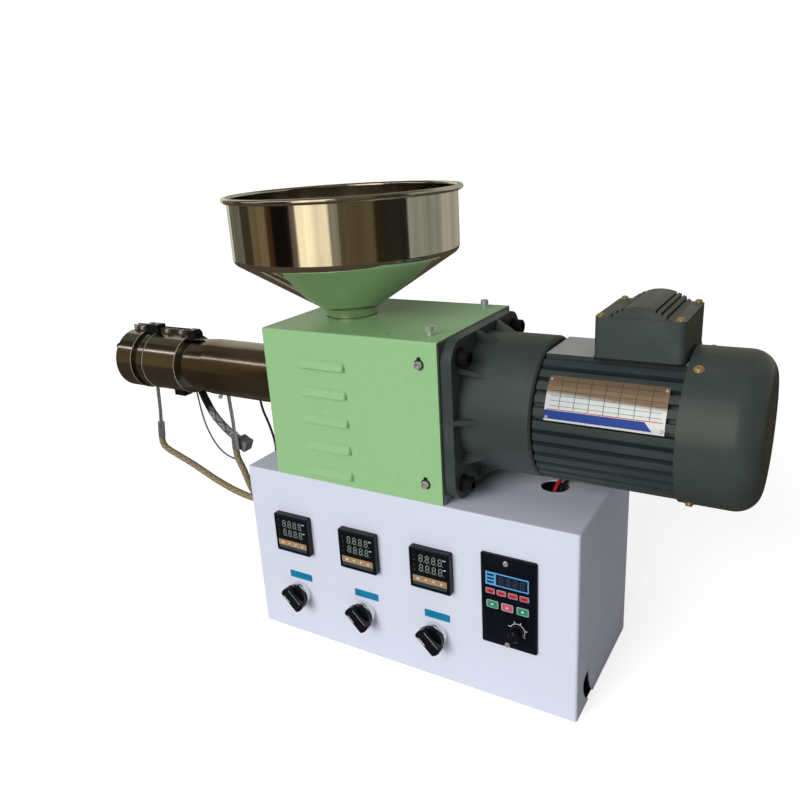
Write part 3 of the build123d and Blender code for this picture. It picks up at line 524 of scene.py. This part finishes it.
def slab(shape, outline, plane, base, top, edge=0.0):
    """A flat piece with a bevelled front edge. Its outline lies in a plane whose Z faces out."""
    centre = sum(outline, Vector((0, 0))) / len(outline)
    reach = max((point - centre).length for point in outline)
    rings = []
    levels = ((base, 0.0), (top - edge, 0.0), (top, edge)) if edge else ((base, 0.0), (top, 0.0))
    for height, shrink in levels:
        ring = []
        for point in outline:
            place = centre + (point - centre) * (1 - shrink / reach)
            ring.append(shape.verts.new(plane @ Vector((place.x, place.y, height))))
        rings.append(ring)
    for low, high in zip(rings, rings[1:]):
        for step in range(len(outline)):
            beside = (step + 1) % len(outline)
            shape.faces.new((low[step], low[beside], high[beside], high[step]))
    shape.faces.new(list(reversed(rings[0])))
    shape.faces.new(rings[-1])


def panel(y):
    """The upright plane at a depth that faces the front: its X is X and its Y is Z."""
    return Matrix(((1, 0, 0, 0), (0, 0, -1, y), (0, 1, 0, 0), (0, 0, 0, 1)))


def piece(name, shape, finish, body="machine", sharp=35.0):
    """Finish a shape made in millimetres as a piece that rides on a body."""
    bmesh.ops.recalc_face_normals(shape, faces=shape.faces)
    bmesh.ops.scale(shape, vec=(MM, MM, MM), verts=shape.verts)
    mesh = as_mesh(name, shape, finish)
    mesh.shade_smooth()
    mesh.set_sharp_from_angle(angle=math.radians(sharp))
    made = add_object(name, mesh)
    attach(made, body)


def plates(name, finish, outlines, plane, base, top, edge=0.0, body="machine"):
    """A piece made of slabs that lie in one plane and are equally thick."""
    shape = bmesh.new()
    for outline in outlines:
        slab(shape, outline, plane, base, top, edge)
    piece(name, shape, finish, body)


def digit(shape, x, z, height, plane):
    """A seven-bar figure with all its bars, and its point, leaning a little."""
    front = 0.06
    lean = 0.08
    width = height * 0.52
    bar = height * 0.13
    gap = bar * 0.2

    def place(points):
        outline = [Vector((x + px + lean * pz, z + pz)) for px, pz in points]
        slab(shape, outline, plane, 0.0, front)

    for level in (-0.5, 0.0, 0.5):
        pz = level * (height - bar)
        half = width / 2 - bar / 2 - gap
        inner = half - bar / 2
        low, high = pz - bar / 2, pz + bar / 2
        place(((-half, pz), (-inner, low), (inner, low), (half, pz), (inner, high), (-inner, high)))
    for sx in (-1, 1):
        for low in (-1, 0):
            px = sx * (width / 2 - bar / 2)
            start = low * (height - bar) / 2 + gap
            end = start + (height - bar) / 2 - 2 * gap
            left, right = px - bar / 2, px + bar / 2
            foot, head = start + bar / 2, end - bar / 2
            place(((px, start), (right, foot), (right, head), (px, end), (left, head), (left, foot)))
    slab(shape, disc(x + width / 2 + bar * 0.7, z - height / 2 + bar * 0.4, bar * 0.45, 8), plane, 0.0, front)


# Temperature controllers: window, figures, marks and keys

CONTROLLER_X = (-139.0, -47.5, 44.0)
CONTROLLER_Z = 138.5
CONTROLLER_FRONT = panel(-96.7)
WINDOW_FRONT = panel(-97.05)
KEY_FRONT = panel(-97.15)


def controller_face(number, x):
    z = CONTROLLER_Z
    key_z = z - 12.2
    name = f"controller_{number}_"
    window = [rounded(x, z, 42.6, 42.6, 1.0)]
    plates(name + "window", smoked_window, window, CONTROLLER_FRONT, -0.05, 0.35, 0.2)
    shape = bmesh.new()
    for level in (z + 13.2, z + 1.8):
        for column in range(4):
            digit(shape, x - 9.6 + 7.6 * column, level, 9.2, WINDOW_FRONT)
    piece(name + "figures", shape, grey_segment)
    marks = [rounded(x + 18.2, level, 3.2, 1.1) for level in (z + 16.6, z + 5.2)]
    plates(name + "marks", white_print, marks, WINDOW_FRONT, 0.0, 0.07)
    lamps = [rounded(x - 17.8, level, 1.7, 1.3, 0.3) for level in (z + 16.0, z + 9.8, z + 3.6, z - 2.2)]
    plates(name + "lamps", dim_segment, lamps, WINDOW_FRONT, 0.0, 0.07)
    plates(name + "key_strip", tan_film, [rounded(x, key_z, 40.6, 7.6, 0.5)], WINDOW_FRONT, 0.0, 0.10, 0.05)
    arrow = ((-1.7, 0.0), (1.2, 1.7), (1.2, -1.7))
    key_marks = [
        rounded(x - 14.0, key_z, 3.6, 2.6, 1.0),
        [Vector((x - 4.8 + px, key_z + pz)) for px, pz in reversed(arrow)],
        [Vector((x + 4.8 + pz, key_z + px)) for px, pz in arrow],
        [Vector((x + 14.0 + pz, key_z - px)) for px, pz in reversed(arrow)],
    ]
    plates(name + "key_marks", white_print, key_marks, KEY_FRONT, 0.0, 0.05)
    foot_strip = [rounded(x, z - 18.4, 40.6, 3.2, 0.4)]
    plates(name + "foot_strip", slate_film, foot_strip, WINDOW_FRONT, 0.0, 0.08, 0.04)


for number, x in enumerate(CONTROLLER_X, start=1):
    controller_face(number, x)


# Blue labels over the switches, and the white marks and painted edge highlights on their handles

BOX_FRONT = panel(-89.0)
HANDLE_FRONT = panel(-109.0)
LABEL_Z = 80.0
SWITCH_X = (-140.5, -48.3, 43.9)
SWITCH_Z = 56.5
LABELS = ((-154.3, -121.8), (-60.3, -28.3), (31.2, 62.3))


def switch_face(number, x, left, right):
    """The label over a switch, the white index mark on its handle and a painted highlight along its other
    edge, drawn at rest.
    """
    label = [rounded((left + right) / 2, LABEL_Z, right - left, 9.0, 0.6)]
    plates(f"blue_label_{number}", blue_label, label, BOX_FRONT, -0.05, 0.25, 0.12)
    along = Vector((-1, 1)).normalized()
    across = Vector((-1, -1)).normalized()
    marks = []
    # The first strip is the white index mark; the second, hair-thin, is a painted highlight along the
    # handle's upper-right edge.
    for side, ahead, length, width in ((5.1, 4.9, 5.2, 0.55), (-6.5, 0.0, 11.0, 0.18)):
        middle = Vector((x, SWITCH_Z)) + across * side + along * ahead
        ends = ((1, -1), (1, 1), (-1, 1), (-1, -1))
        marks.append([middle + along * a * length + across * b * width for a, b in ends])
    body = f"selector_{number}"
    plates(f"switch_mark_and_highlight_{number}", white_print, marks, HANDLE_FRONT, -0.05, 0.10, 0.0, body)


for number, ((left, right), x) in enumerate(zip(LABELS, SWITCH_X), start=1):
    switch_face(number, x, left, right)


# Speed panel: film, display, keys and the dial's scale

FILM_BACK = panel(-92.0)
FILM_FRONT = panel(-92.25)
FRAME_FRONT = panel(-92.41)
DISPLAY_FRONT = panel(-92.51)
PRESS_FRONT = panel(-92.75)
KNOB_FRONT = panel(-104.6)
DISPLAY_Z, RED_KEY_Z, RUN_KEY_Z = 146.0, 131.4, 116.2
DIAL = Vector((140.6, 92.5))


def speed_display():
    plates("speed_film", panel_film, [rounded(131.0, 118.5, 51.0, 86.0, 1.2)], FILM_BACK, -0.05, 0.25, 0.12)
    bezel = [rounded(129.6, DISPLAY_Z, 46.4, 15.0, 0.8)]
    plates("speed_display_frame", sky_film, bezel, FILM_FRONT, 0.0, 0.16, 0.06)
    windows = [rounded(134.7, DISPLAY_Z, 33.6, 12.0, 0.5)]
    windows += [rounded(111.9, level, 7.6, 2.0, 0.4) for level in (141.9, 146.0, 150.1)]
    plates("speed_display_window", navy_film, windows, FRAME_FRONT, 0.0, 0.10, 0.04)
    shape = bmesh.new()
    for column in range(4):
        digit(shape, 123.4 + 7.5 * column, DISPLAY_Z, 8.6, DISPLAY_FRONT)
    piece("speed_figures", shape, dim_segment)


def speed_keys():
    small, large = (111.4, 123.5, 135.8, 148.1), (113.5, 129.7, 146.2)
    rims = [rounded(x, RED_KEY_Z, 10.0, 6.2, 1.2) for x in small]
    rims += [rounded(x, RUN_KEY_Z, 13.0, 9.0, 1.6) for x in large]
    plates("key_rims", key_rim, rims, FILM_FRONT, 0.0, 0.14, 0.05)
    reds = [rounded(x, RED_KEY_Z, 8.8, 5.0, 0.9) for x in small]
    start, stop, back = [rounded(x, RUN_KEY_Z, 11.0, 7.2, 1.2) for x in large]
    for name, finish, outlines in (
        ("red_keys", red_key, reds),
        ("stop_key", rose_key, [stop]),
        ("green_keys", green_key, [start, back]),
    ):
        plates(name, finish, outlines, FRAME_FRONT, 0.0, 0.34, 0.14)
    dots = [disc(x, RUN_KEY_Z, 1.3, 12) for x in large]
    plates("key_marks", white_print, dots, PRESS_FRONT, 0.0, 0.05)
    dashes = [rounded(x, RED_KEY_Z, 5.2, 1.4, 0.6) for x in small]
    plates("red_key_marks", dark_print, dashes, PRESS_FRONT, 0.0, 0.05)


def speed_dial():
    """The scale round the knob, an arc of thin quads with its ticks, and the line on the knob."""
    steps = 40
    first, last = 160, -40
    shape = bmesh.new()
    turns = [math.radians(first) + math.radians(last - first) * step / steps for step in range(steps + 1)]
    inner, outer = (
        [DIAL + Vector((math.cos(turn), math.sin(turn))) * radius for turn in turns] for radius in (7.5, 8.2)
    )
    for step in range(steps):
        slab(shape, [inner[step + 1], outer[step + 1], outer[step], inner[step]], FILM_FRONT, 0.0, 0.05)
    for turn in (first, 110, 70, 10, last):
        away = Vector((math.cos(math.radians(turn)), math.sin(math.radians(turn))))
        side = Vector((-away.y, away.x)) * 0.45
        base, tip = DIAL + away * 8.0, DIAL + away * 10.6
        slab(shape, [base - side, tip - side, tip + side, base + side], FILM_FRONT, 0.0, 0.06)
    piece("dial_scale", shape, white_print)
    line = [rounded(140.6, 96.6, 0.9, 4.0, 0.2)]
    plates("dial_pointer", dim_segment, line, KNOB_FRONT, -0.05, 0.08, 0.0, "speed_dial")


speed_display()
speed_keys()
speed_dial()


# Screws: a head with a recess, on a washer, at each place and facing each way


SIZES = ("Head Radius", "Head Height", "Chamfer", "Recess", "Washer Radius", "Washer Height", "Corners")


class Recipe(Board):
    """A geometry tree whose sizes are named inputs, run once on a set of places."""

    def __init__(self, name):
        super().__init__(bpy.data.node_groups.new(name, "GeometryNodeTree"))
        self.tree.interface.new_socket("Places", in_out="INPUT", socket_type="NodeSocketGeometry")
        for label in SIZES:
            self.tree.interface.new_socket(label, in_out="INPUT", socket_type="NodeSocketFloat")
        self.tree.interface.new_socket("Pieces", in_out="OUTPUT", socket_type="NodeSocketGeometry")
        entry = self.tree.nodes.new("NodeGroupInput")
        self.given = {socket.name: Wire(self, socket) for socket in entry.outputs if socket.name}

    def put(self, shape, finish):
        """Close the tree: instances made real, one finish on all of them."""
        real = self.node("GeometryNodeRealizeInstances", inputs={0: shape})
        coated = self.node("GeometryNodeSetMaterial", inputs={"Geometry": real, "Material": finish.material})
        leave = self.tree.nodes.new("NodeGroupOutput")
        self.tree.links.new(coated.socket, leave.inputs[0])

    def raised(self, shape, z):
        shift = self.node("ShaderNodeCombineXYZ", inputs={2: z})
        return self.node("GeometryNodeTransform", inputs={"Geometry": shape, "Translation": shift})

    def join(self, *shapes):
        joined = self.tree.nodes.new("GeometryNodeJoinGeometry")
        for shape in shapes:
            self.tree.links.new(shape.socket, joined.inputs[0])
        return Wire(self, joined.outputs[0])

    def cut(self, solid, tool):
        shapes = {"Mesh 1": solid, "Mesh 2": tool}
        return self.node("GeometryNodeMeshBoolean", {"operation": "DIFFERENCE"}, shapes)


def screw_recipe(name, finish, recess):
    """Screws whose heads have a chamfered crown and a hexagon, a cross or no recess."""
    recipe = Recipe(name)
    given = recipe.given
    straight = given["Head Height"] - given["Chamfer"]
    profile = {"Vertices": given["Corners"], "Radius": given["Head Radius"], "Depth": straight}
    head = recipe.node("GeometryNodeMeshCylinder", {"fill_type": "NGON"}, profile)
    head = recipe.raised(head, straight * 0.5)
    crown_sizes = {
        "Vertices": given["Corners"],
        "Radius Bottom": given["Head Radius"],
        "Radius Top": given["Head Radius"] - given["Chamfer"],
        "Depth": given["Chamfer"],
    }
    crown = recipe.raised(recipe.node("GeometryNodeMeshCone", {"fill_type": "NGON"}, crown_sizes), straight)
    whole = recipe.node("GeometryNodeMeshBoolean", {"operation": "UNION"}, {"Mesh 2": head})
    recipe.tree.links.new(crown.socket, whole.socket.node.inputs["Mesh 2"])
    depth = given["Head Height"] * 0.6
    if recess == "hexagon":
        key = {"Vertices": 6, "Radius": given["Recess"], "Depth": depth * 2.0}
        hollow = recipe.node("GeometryNodeMeshCylinder", {"fill_type": "NGON"}, key)
        whole = recipe.cut(whole, recipe.raised(hollow, given["Head Height"]))
    elif recess == "cross":
        for wide, deep in ((2.0, 0.45), (0.45, 2.0)):
            sides = {0: given["Recess"] * wide, 1: given["Recess"] * deep, 2: depth * 1.4}
            size = recipe.node("ShaderNodeCombineXYZ", inputs=sides)
            bar = recipe.node("GeometryNodeMeshCube", inputs={"Size": size})
            whole = recipe.cut(whole, recipe.raised(bar, given["Head Height"]))
    rim = {"Vertices": 32, "Radius": given["Washer Radius"], "Depth": given["Washer Height"]}
    washer = recipe.node("GeometryNodeMeshCylinder", {"fill_type": "NGON"}, rim)
    washer = recipe.raised(washer, given["Washer Height"] * 0.5)
    screw = recipe.join(recipe.raised(whole, given["Washer Height"]), washer)
    facing = recipe.node("GeometryNodeInputNamedAttribute", {"data_type": "FLOAT_VECTOR"}, {"Name": "facing"})
    turn = recipe.node("FunctionNodeAlignRotationToVector", {"axis": "Z"}, {"Vector": facing})
    spots = {"Points": given["Places"], "Instance": screw, "Rotation": turn}
    recipe.put(recipe.node("GeometryNodeInstanceOnPoints", inputs=spots), finish)
    return recipe


def place_screws(
    name, recipe, places, radius, height, chamfer, recess=0.0, washer=(0, 0), corners=32,
):
    """Run a screw tree at places, each a point in millimetres and a direction, and keep the plain mesh.

    The sizes are those of the head, and the washer's are its radius and its height.
    """
    sizes = dict(zip(SIZES, (radius, height, chamfer, recess, *washer, corners)))
    carrier = bpy.data.meshes.new(name)
    carrier.from_pydata([place for place, facing in places], [], [])
    facings = carrier.attributes.new("facing", "FLOAT_VECTOR", "POINT")
    for entry, (place, facing) in zip(facings.data, places):
        entry.vector = Vector(facing).normalized()
    made = add_object(name, carrier)
    run = made.modifiers.new("screws", "NODES")
    run.node_group = recipe.tree
    for item in recipe.tree.interface.items_tree:
        if item.name in sizes:
            run[item.identifier] = float(sizes[item.name])
    drawn = made.evaluated_get(bpy.context.evaluated_depsgraph_get())
    mesh = bpy.data.meshes.new_from_object(drawn)
    made.modifiers.clear()
    mesh.transform(Matrix.Scale(MM, 4))
    mesh.shade_smooth()
    mesh.set_sharp_from_angle(angle=math.radians(35))
    made.data = mesh
    bpy.data.meshes.remove(carrier)
    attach(made, "machine")


OUT_FRONT, OUT_BACK, UP, RIGHT, LEFT = (0, -1, 0), (0, 1, 0), (0, 0, 1), (1, 0, 0), (-1, 0, 0)
bright_socket = screw_recipe("bright_socket_screw", bright_screw, "hexagon")
chrome_socket = screw_recipe("chrome_socket_screw", screw_chrome, "hexagon")
chrome_cross = screw_recipe("chrome_cross_screw", screw_chrome, "cross")
black_socket = screw_recipe("black_socket_screw", black_oxide, "hexagon")
bright_cross = screw_recipe("bright_cross_screw", bright_screw, "cross")
brass_cross = screw_recipe("brass_cross_screw", brass, "cross")
rubber_ring = screw_recipe("rubber_ring", rubber, "none")
hexagon_nut = screw_recipe("hexagon_nut", bright_screw, "none")

BARREL_Z, MOTOR_Z = 299.0, 303.0
BOX_LEFT = -202.0
HOOD_FRONT = panel(-88.0)
HOOD_BACK = Matrix(((-1, 0, 0, 0), (0, 0, 1, 88.0), (0, 1, 0, 0), (0, 0, 0, 1)))


def hood_screws():
    """Screws on rings in the hood's sides, each under the painted shadow of its slot, and two tall ones on
    its top.
    """
    ring = 0.9
    holes = ((39.1, 360.8), (40.2, 234.3))
    sides = [((x, side * 88.0, z), (0, side, 0)) for x, z in holes for side in (-1, 1)]
    place_screws("hood_side_washers", rubber_ring, sides, 5.4, ring, 0.3)
    sides = [((x, y + ring * facing[1], z), facing) for (x, y, z), facing in sides]
    place_screws("hood_side_screws", chrome_socket, sides, 4.2, 3.6, 0.6, 2.3)
    # Thin dark-green sheets above each screw: painted shadow standing in for the slotted holes.
    shape = bmesh.new()
    for side, plane in ((-1, HOOD_FRONT), (1, HOOD_BACK)):
        for (x, y, z), facing in sides:
            if facing[1] == side:
                slab(shape, rounded(-side * x, z + 5.0, 4.6, 5.0, 1.2), plane, -0.05, 0.06)
    piece("hood_slot_shadows", shape, slot_shadow)
    top = [((39.5, y, 384.0), UP) for y in (-64.0, 64.0)]
    place_screws("hood_top_shanks", chrome_socket, top, 2.5, 6.2, 0.2, 0.8)
    top = [((x, y, 389.0), UP) for (x, y, z), facing in top]
    place_screws("hood_top_screws", chrome_socket, top, 4.3, 5.0, 0.7, 2.4)


def drive_screws():
    """The screws of the gear housing, the speed panel, the terminal box's lid and the fan cowl."""
    flange = [((72.0, y, BARREL_Z + z), RIGHT) for y in (-66.5, 66.5) for z in (-66.5, 66.5)]
    place_screws("flange_bolts", black_socket, flange, 8.0, 10.0, 1.0, 4.6, (9.6, 1.6))
    panel_face = [((128.6, -92.0, 166.4), OUT_FRONT), ((129.5, -92.0, 72.0), OUT_FRONT)]
    place_screws("panel_screws", chrome_cross, panel_face, 2.9, 1.8, 0.7, 1.5)
    lid = [((234.0 + x, y, 407.5), UP) for x in (-34.3, 34.3) for y in (-36.0, 43.5)]
    place_screws("lid_screws", brass_cross, lid, 3.2, 2.2, 0.8, 1.6, (3.9, 0.5))
    cowl = []
    for turn in (60, 120, 240, 300):
        away = (0, math.cos(math.radians(turn)), math.sin(math.radians(turn)))
        cowl.append(((285.5, away[1] * 73.3, MOTOR_Z + away[2] * 73.3), away))
    place_screws("cowl_screws", brass_cross, cowl, 3.4, 2.2, 0.8, 1.7, (4.6, 0.6))


def barrel_screws():
    """The screws of the die, the heater bands, the terminal blocks, a probe and the connector."""
    die = []
    for turn in (142, 262, 22):
        y, z = math.cos(math.radians(turn)) * 35.6, math.sin(math.radians(turn)) * 35.6
        die.append(((-470.0, y, BARREL_Z + z), LEFT))
    place_screws("die_bolts", black_socket, die, 4.2, 3.8, 0.5, 2.2)
    ears = ((-459.0, 343.5), (-446.0, 343.5), (-398.0, 342.5), (-372.0, 342.5))
    band = [((x, -4.6, z), OUT_FRONT) for x, z in ears]
    place_screws("band_bolts", bright_socket, band, 2.8, 2.8, 0.5, 1.4)
    nuts = [((x, -y, z), OUT_BACK) for (x, y, z), facing in band]
    place_screws("band_nuts", hexagon_nut, nuts, 3.2, 2.4, 0.4, corners=6)
    terminals = [((x, 0.0, z), UP) for x, z in ((-433.0, 349.0), (-421.0, 349.0), (-354.0, 346.0))]
    place_screws("terminal_screws", bright_cross, terminals, 3.0, 1.8, 0.7, 1.4)
    probe = [((-313.0, -6.0, 263.6), (-0.35, -0.25, -1.0))]
    place_screws("probe_screw", bright_socket, probe, 2.6, 7.0, 0.8, 1.2)
    connector = [((-303.09 + x, 6.5, 186.74 + z), OUT_FRONT) for x, z in ((-3.0, 4.5), (-5.5, -1.0))]
    place_screws("connector_screws", brass_cross, connector, 1.9, 0.9, 0.3, 0.9)


def cord_rings():
    """The rings round the cords in the box's left wall."""
    rings = [((BOX_LEFT, y, z), LEFT) for y, z in ((-14.0, 125.0), (14.0, 99.5))]
    place_screws("sleeve_grommets", rubber_ring, rings, 7.4, 1.8, 0.7)
    ring = [((BOX_LEFT, -22.0, 181.5), LEFT)]
    place_screws("wire_grommet", rubber_ring, ring, 3.6, 1.4, 0.5)


hood_screws()
drive_screws()
barrel_screws()
cord_rings()


# Trims: the hopper's skirt, the bands' rims, the terminal box's gasket and the motor's nameplate


def turned_ring(shape, profile, origin, upright, start=0.0, end=360.0):
    """A ring turned from a closed profile of radius and height, whole or between two angles."""
    steps = 96
    whole = end - start >= 360.0
    rings = []
    for step in range(steps if whole else steps + 1):
        turn = math.radians(start + (end - start) * step / steps)
        ring = []
        for radius, along in profile:
            wide, high = radius * math.cos(turn), radius * math.sin(turn)
            offset = (wide, high, along) if upright else (along, wide, high)
            ring.append(shape.verts.new(Vector(origin) + Vector(offset)))
        rings.append(ring)
    count = len(profile)
    for step in range(steps):
        here, beyond = rings[step], rings[(step + 1) % len(rings)]
        for corner in range(count):
            beside = (corner + 1) % count
            shape.faces.new((here[corner], here[beside], beyond[beside], beyond[corner]))
    if not whole:
        shape.faces.new(rings[0])
        shape.faces.new(list(reversed(rings[-1])))


def neck_skirt():
    """The foot of the hopper's cone, flared down to the hood, with a thin dark ring under it as painted shade
    where it meets the hood.
    """
    neck = (-96.0, 0.0, 0.0)
    flare = [(34.0, 394.35), (31.2, 392.2), (29.6, 389.6), (28.9, 386.8), (28.7, 384.5)]
    flare += [(27.1, 384.5), (27.1, 391.0)]
    shape = bmesh.new()
    turned_ring(shape, flare, neck, upright=True)
    piece("neck_skirt", shape, mirror, sharp=50.0)
    # A thin dark ring at the foot: painted shade where the cone meets the hood.
    shade_ring = [(27.2, 383.9), (29.1, 383.9), (29.1, 384.5), (27.2, 384.5)]
    shape = bmesh.new()
    turned_ring(shape, shade_ring, neck, upright=True)
    piece("neck_shade_ring", shape, rubber)


def band_rims():
    """The bright folded edges of the heater bands, open at their clamps."""
    shape = bmesh.new()
    for left, radius in ((-441.0, 40.0), (-420.0, 39.0), (-360.0, 39.0)):
        low, high = radius - 0.3, radius + 0.5
        profile = [(low, left), (high, left + 0.1), (high, left + 0.9), (low, left + 1.0)]
        turned_ring(shape, profile, (0.0, 0.0, BARREL_Z), upright=False, start=100.0, end=440.0)
    piece("band_rims", shape, bright_screw)


def gasket():
    level = Matrix.Translation((234.0, 3.75, 368.0))
    plates("junction_gasket", rubber, [rounded(0.0, 0.0, 80.2, 89.7, 6.4)], level, 0.0, 2.2, 0.4)


def nameplate():
    """A thin plate bent round the fins, with its own map for the print, and a rivet in each corner."""
    left, right, low, high = 159.0, 267.0, math.radians(9.5), math.radians(43.6)
    back, front = 71.45, 72.1
    steps = 24
    shape = bmesh.new()
    across = shape.loops.layers.uv.new("UVMap")

    def ring(radius, step):
        turn = low + (high - low) * step / steps
        y, z = -radius * math.cos(turn), MOTOR_Z + radius * math.sin(turn)
        return [shape.verts.new((x, y, z)) for x in (left, right)]

    inner = [ring(back, step) for step in range(steps + 1)]
    outer = [ring(front, step) for step in range(steps + 1)]
    for step in range(steps):
        for rows in (inner, outer):
            shape.faces.new((rows[step][0], rows[step][1], rows[step + 1][1], rows[step + 1][0]))
        for end in (0, 1):
            shape.faces.new((inner[step][end], outer[step][end], outer[step + 1][end], inner[step + 1][end]))
    for step in (0, steps):
        shape.faces.new((inner[step][0], inner[step][1], outer[step][1], outer[step][0]))
    for face in shape.faces:
        for loop in face.loops:
            x, y, z = loop.vert.co
            turn = math.atan2(z - MOTOR_Z, -y)
            loop[across].uv = ((x - left) / (right - left), (turn - low) / (high - low))
    piece("motor_nameplate", shape, nameplate_metal)
    rivets = []
    for x in (left + 2.6, right - 2.6):
        for turn in (low + 0.05, high - 0.05):
            away = (0.0, -math.cos(turn), math.sin(turn))
            rivets.append(((x, away[1] * front, MOTOR_Z + away[2] * front), away))
    place_screws("nameplate_rivets", rivet, rivets, 1.5, 0.9, 0.5)


def printed_metal():
    """Anodised plate with an empty ruled table, a blue band with a slanted end and a red line."""
    finish = Finish("nameplate_metal", roughness=0.26)
    across, up = finish.unrolled()
    table = across.band(0.035, 0.965) * up.band(0.27, 0.955)
    columns = (across * 8.0 + 0.03).fraction() < 0.055
    rows = (up * 9.0 + 0.05).fraction() < 0.10
    ink = table * columns.most(rows)
    band = up.band(0.045, 0.235) * ((across + up * 0.35) < 0.92)
    line = up.band(0.245, 0.262) * across.band(0.02, 0.98)
    plain = finish.mix(finish.spread(finish.grain(40.0), 0.3, 0.7), (0.74, 0.80, 0.85), (0.64, 0.70, 0.76))
    # The upper part of the plate fades to brown.
    browner_top = finish.spread(up + across * 0.10, 0.56, 0.66)
    plain = finish.mix(browner_top, plain, srgb(134, 114, 90))
    printed = finish.mix(ink * 0.8, plain, (0.06, 0.055, 0.05))
    printed = finish.mix(band, printed, srgb(18, 62, 150))
    finish.set("Base Color", finish.mix(line, printed, srgb(190, 50, 56)))
    finish.set("Metallic", 0.4 - band * 0.25)
    return finish


nameplate_metal = printed_metal()
rivet = screw_recipe("rivet", bright_screw, "none")
neck_skirt()
band_rims()
gasket()
nameplate()


# Studio: floor, background, lamps, and a room of glowing cards that only reflections show


def stage_mesh(name, points, faces, finish):
    mesh = bpy.data.meshes.new(name)
    mesh.from_pydata(points, [], faces)
    mesh.materials.append(finish.material)
    made = add_object(name, mesh)
    return made


def level_disc(name, radius, height, steps, finish):
    turns = [math.tau * step / steps for step in range(steps)]
    points = [(radius * math.cos(turn), radius * math.sin(turn), height) for turn in turns]
    return stage_mesh(name, points, [tuple(range(steps))], finish)


def seen_directly(board):
    """1 for rays that show the background: the camera's, reflected and transmitted ones."""
    rays = board.tree.nodes.new("ShaderNodeLightPath").outputs
    labels = ("Is Camera Ray", "Is Glossy Ray", "Is Transmission Ray")
    camera, glossy, through = (Wire(board, rays[label]) for label in labels)
    return camera.most(glossy).most(through)


def add_floor():
    finish = Finish("pale_floor", base_color=(0.80, 0.80, 0.80), roughness=0.9)
    finish.set("Emission Color", finish.mix(seen_directly(finish), (0.0, 0.0, 0.0), (0.68, 0.68, 0.68)))
    finish.set("Emission Strength", 1.0)
    level_disc("floor", 12, 0, 96, finish)


def add_world():
    world = bpy.data.worlds.new("studio")
    world.use_nodes = True
    scene.world = world
    board = Board(world.node_tree)
    world.node_tree.nodes.clear()
    plain, white = (
        board.node("ShaderNodeBackground", inputs={"Color": (1.0, 1.0, 1.0, 1.0), "Strength": strength})
        for strength in (0.16, 1.0)
    )
    both = board.node("ShaderNodeMixShader", inputs={0: seen_directly(board), 1: plain, 2: white})
    board.node("ShaderNodeOutputWorld", inputs={"Surface": both})


def add_lamp(name, toward, strength, spread):
    lamp = bpy.data.lights.new(name, "SUN")
    lamp.energy = strength
    lamp.angle = math.radians(spread)
    made = add_object(name, lamp)
    made.rotation_euler = Vector(toward).to_track_quat("Z", "Y").to_euler()
    made.visible_glossy = False


def show_in_gloss_only(card):
    card.visible_camera = False
    card.visible_diffuse = False
    card.visible_shadow = False
    card.visible_transmission = False


def card_finish(name, strength):
    finish = Finish(name + "_card", base_color=(0.0, 0.0, 0.0), roughness=1.0)
    finish.set("Emission Strength", strength)
    return finish


def add_card(name, start, end, seen):
    """An upright card, streaked up and down, that bends round the object between two compass angles."""
    colour = srgb(*seen)
    low, high, distance, middle = 0.02, 2.6, 2.6, -0.1
    brightest, faintest = 1.25, 0.56
    finish = card_finish(name, brightest)
    streaks = finish.spread(finish.grain(2.6, 4.0, (1.0, 1.0, 0.03)), 0.28, 0.72)
    faint = tuple(value * faintest for value in colour)
    finish.set("Emission Color", finish.mix(streaks, faint, colour))
    steps = 12
    points, faces = [], []
    for step in range(steps + 1):
        turn = math.radians(start + (end - start) * step / steps)
        for height in (low, high):
            points.append((middle + distance * math.cos(turn), distance * math.sin(turn), height))
        if step:
            faces.append((2 * step - 2, 2 * step - 1, 2 * step + 1, 2 * step))
    show_in_gloss_only(stage_mesh(name, points, faces, finish))


def add_tube_light():
    """A long bright strip overhead that draws a thin line along the barrel and the bands."""
    finish = card_finish("tube_light", 2.6)
    finish.set("Emission Color", (1.0, 0.97, 0.90))
    points = [(-2.3, -0.80, 1.14), (0.3, -0.80, 1.14), (0.3, -0.74, 1.19), (-2.3, -0.74, 1.19)]
    show_in_gloss_only(stage_mesh("tube_light", points, [(0, 1, 2, 3)], finish))


def add_level_card(name, colour, height):
    """A level card round the object: the dark bench under it, or the ceiling over it."""
    finish = card_finish(name, 1.0)
    finish.set("Emission Color", colour)
    show_in_gloss_only(level_disc(name, 3.2, height, 48, finish))


add_floor()
add_world()
add_lamp("front_light", (-0.22, -0.90, 0.36), 2.12, 40.0)
add_lamp("top_light", (0.15, -0.10, 1.0), 0.36, 60.0)
CARDS = (
    ("grey_wall", 52, 95, (160, 154, 138)),
    ("grey_door", 6, 52, (136, 138, 124)),
    ("dark_post", -20, 6, (34, 34, 26)),
    ("brown_edge", -28, -20, (46, 36, 20)),
    ("brown_wall", -61, -28, (80, 70, 50)),
    ("grey_shelf", -70, -61, (124, 120, 102)),
    ("window", -101, -70, (255, 240, 200)),
    ("window_frame", -107, -101, (90, 76, 66)),
    ("dark_doorway", -127, -107, (8, 6, 5)),
    ("brown_cabinet", -134, -127, (62, 40, 20)),
    ("tan_wall", -156, -134, (106, 92, 66)),
    ("dark_corner", -172, -156, (56, 50, 36)),
    ("far_wall", -200, -172, (96, 94, 82)),
    ("back_wall", 95, 128, (150, 150, 136)),
    ("back_shelf", 128, 160, (204, 200, 184)),
)
for card in CARDS:
    add_card(*card)
add_level_card("bench", srgb(70, 62, 50), 0.0006)
add_tube_light()
add_level_card("ceiling", srgb(92, 82, 66), 2.6)
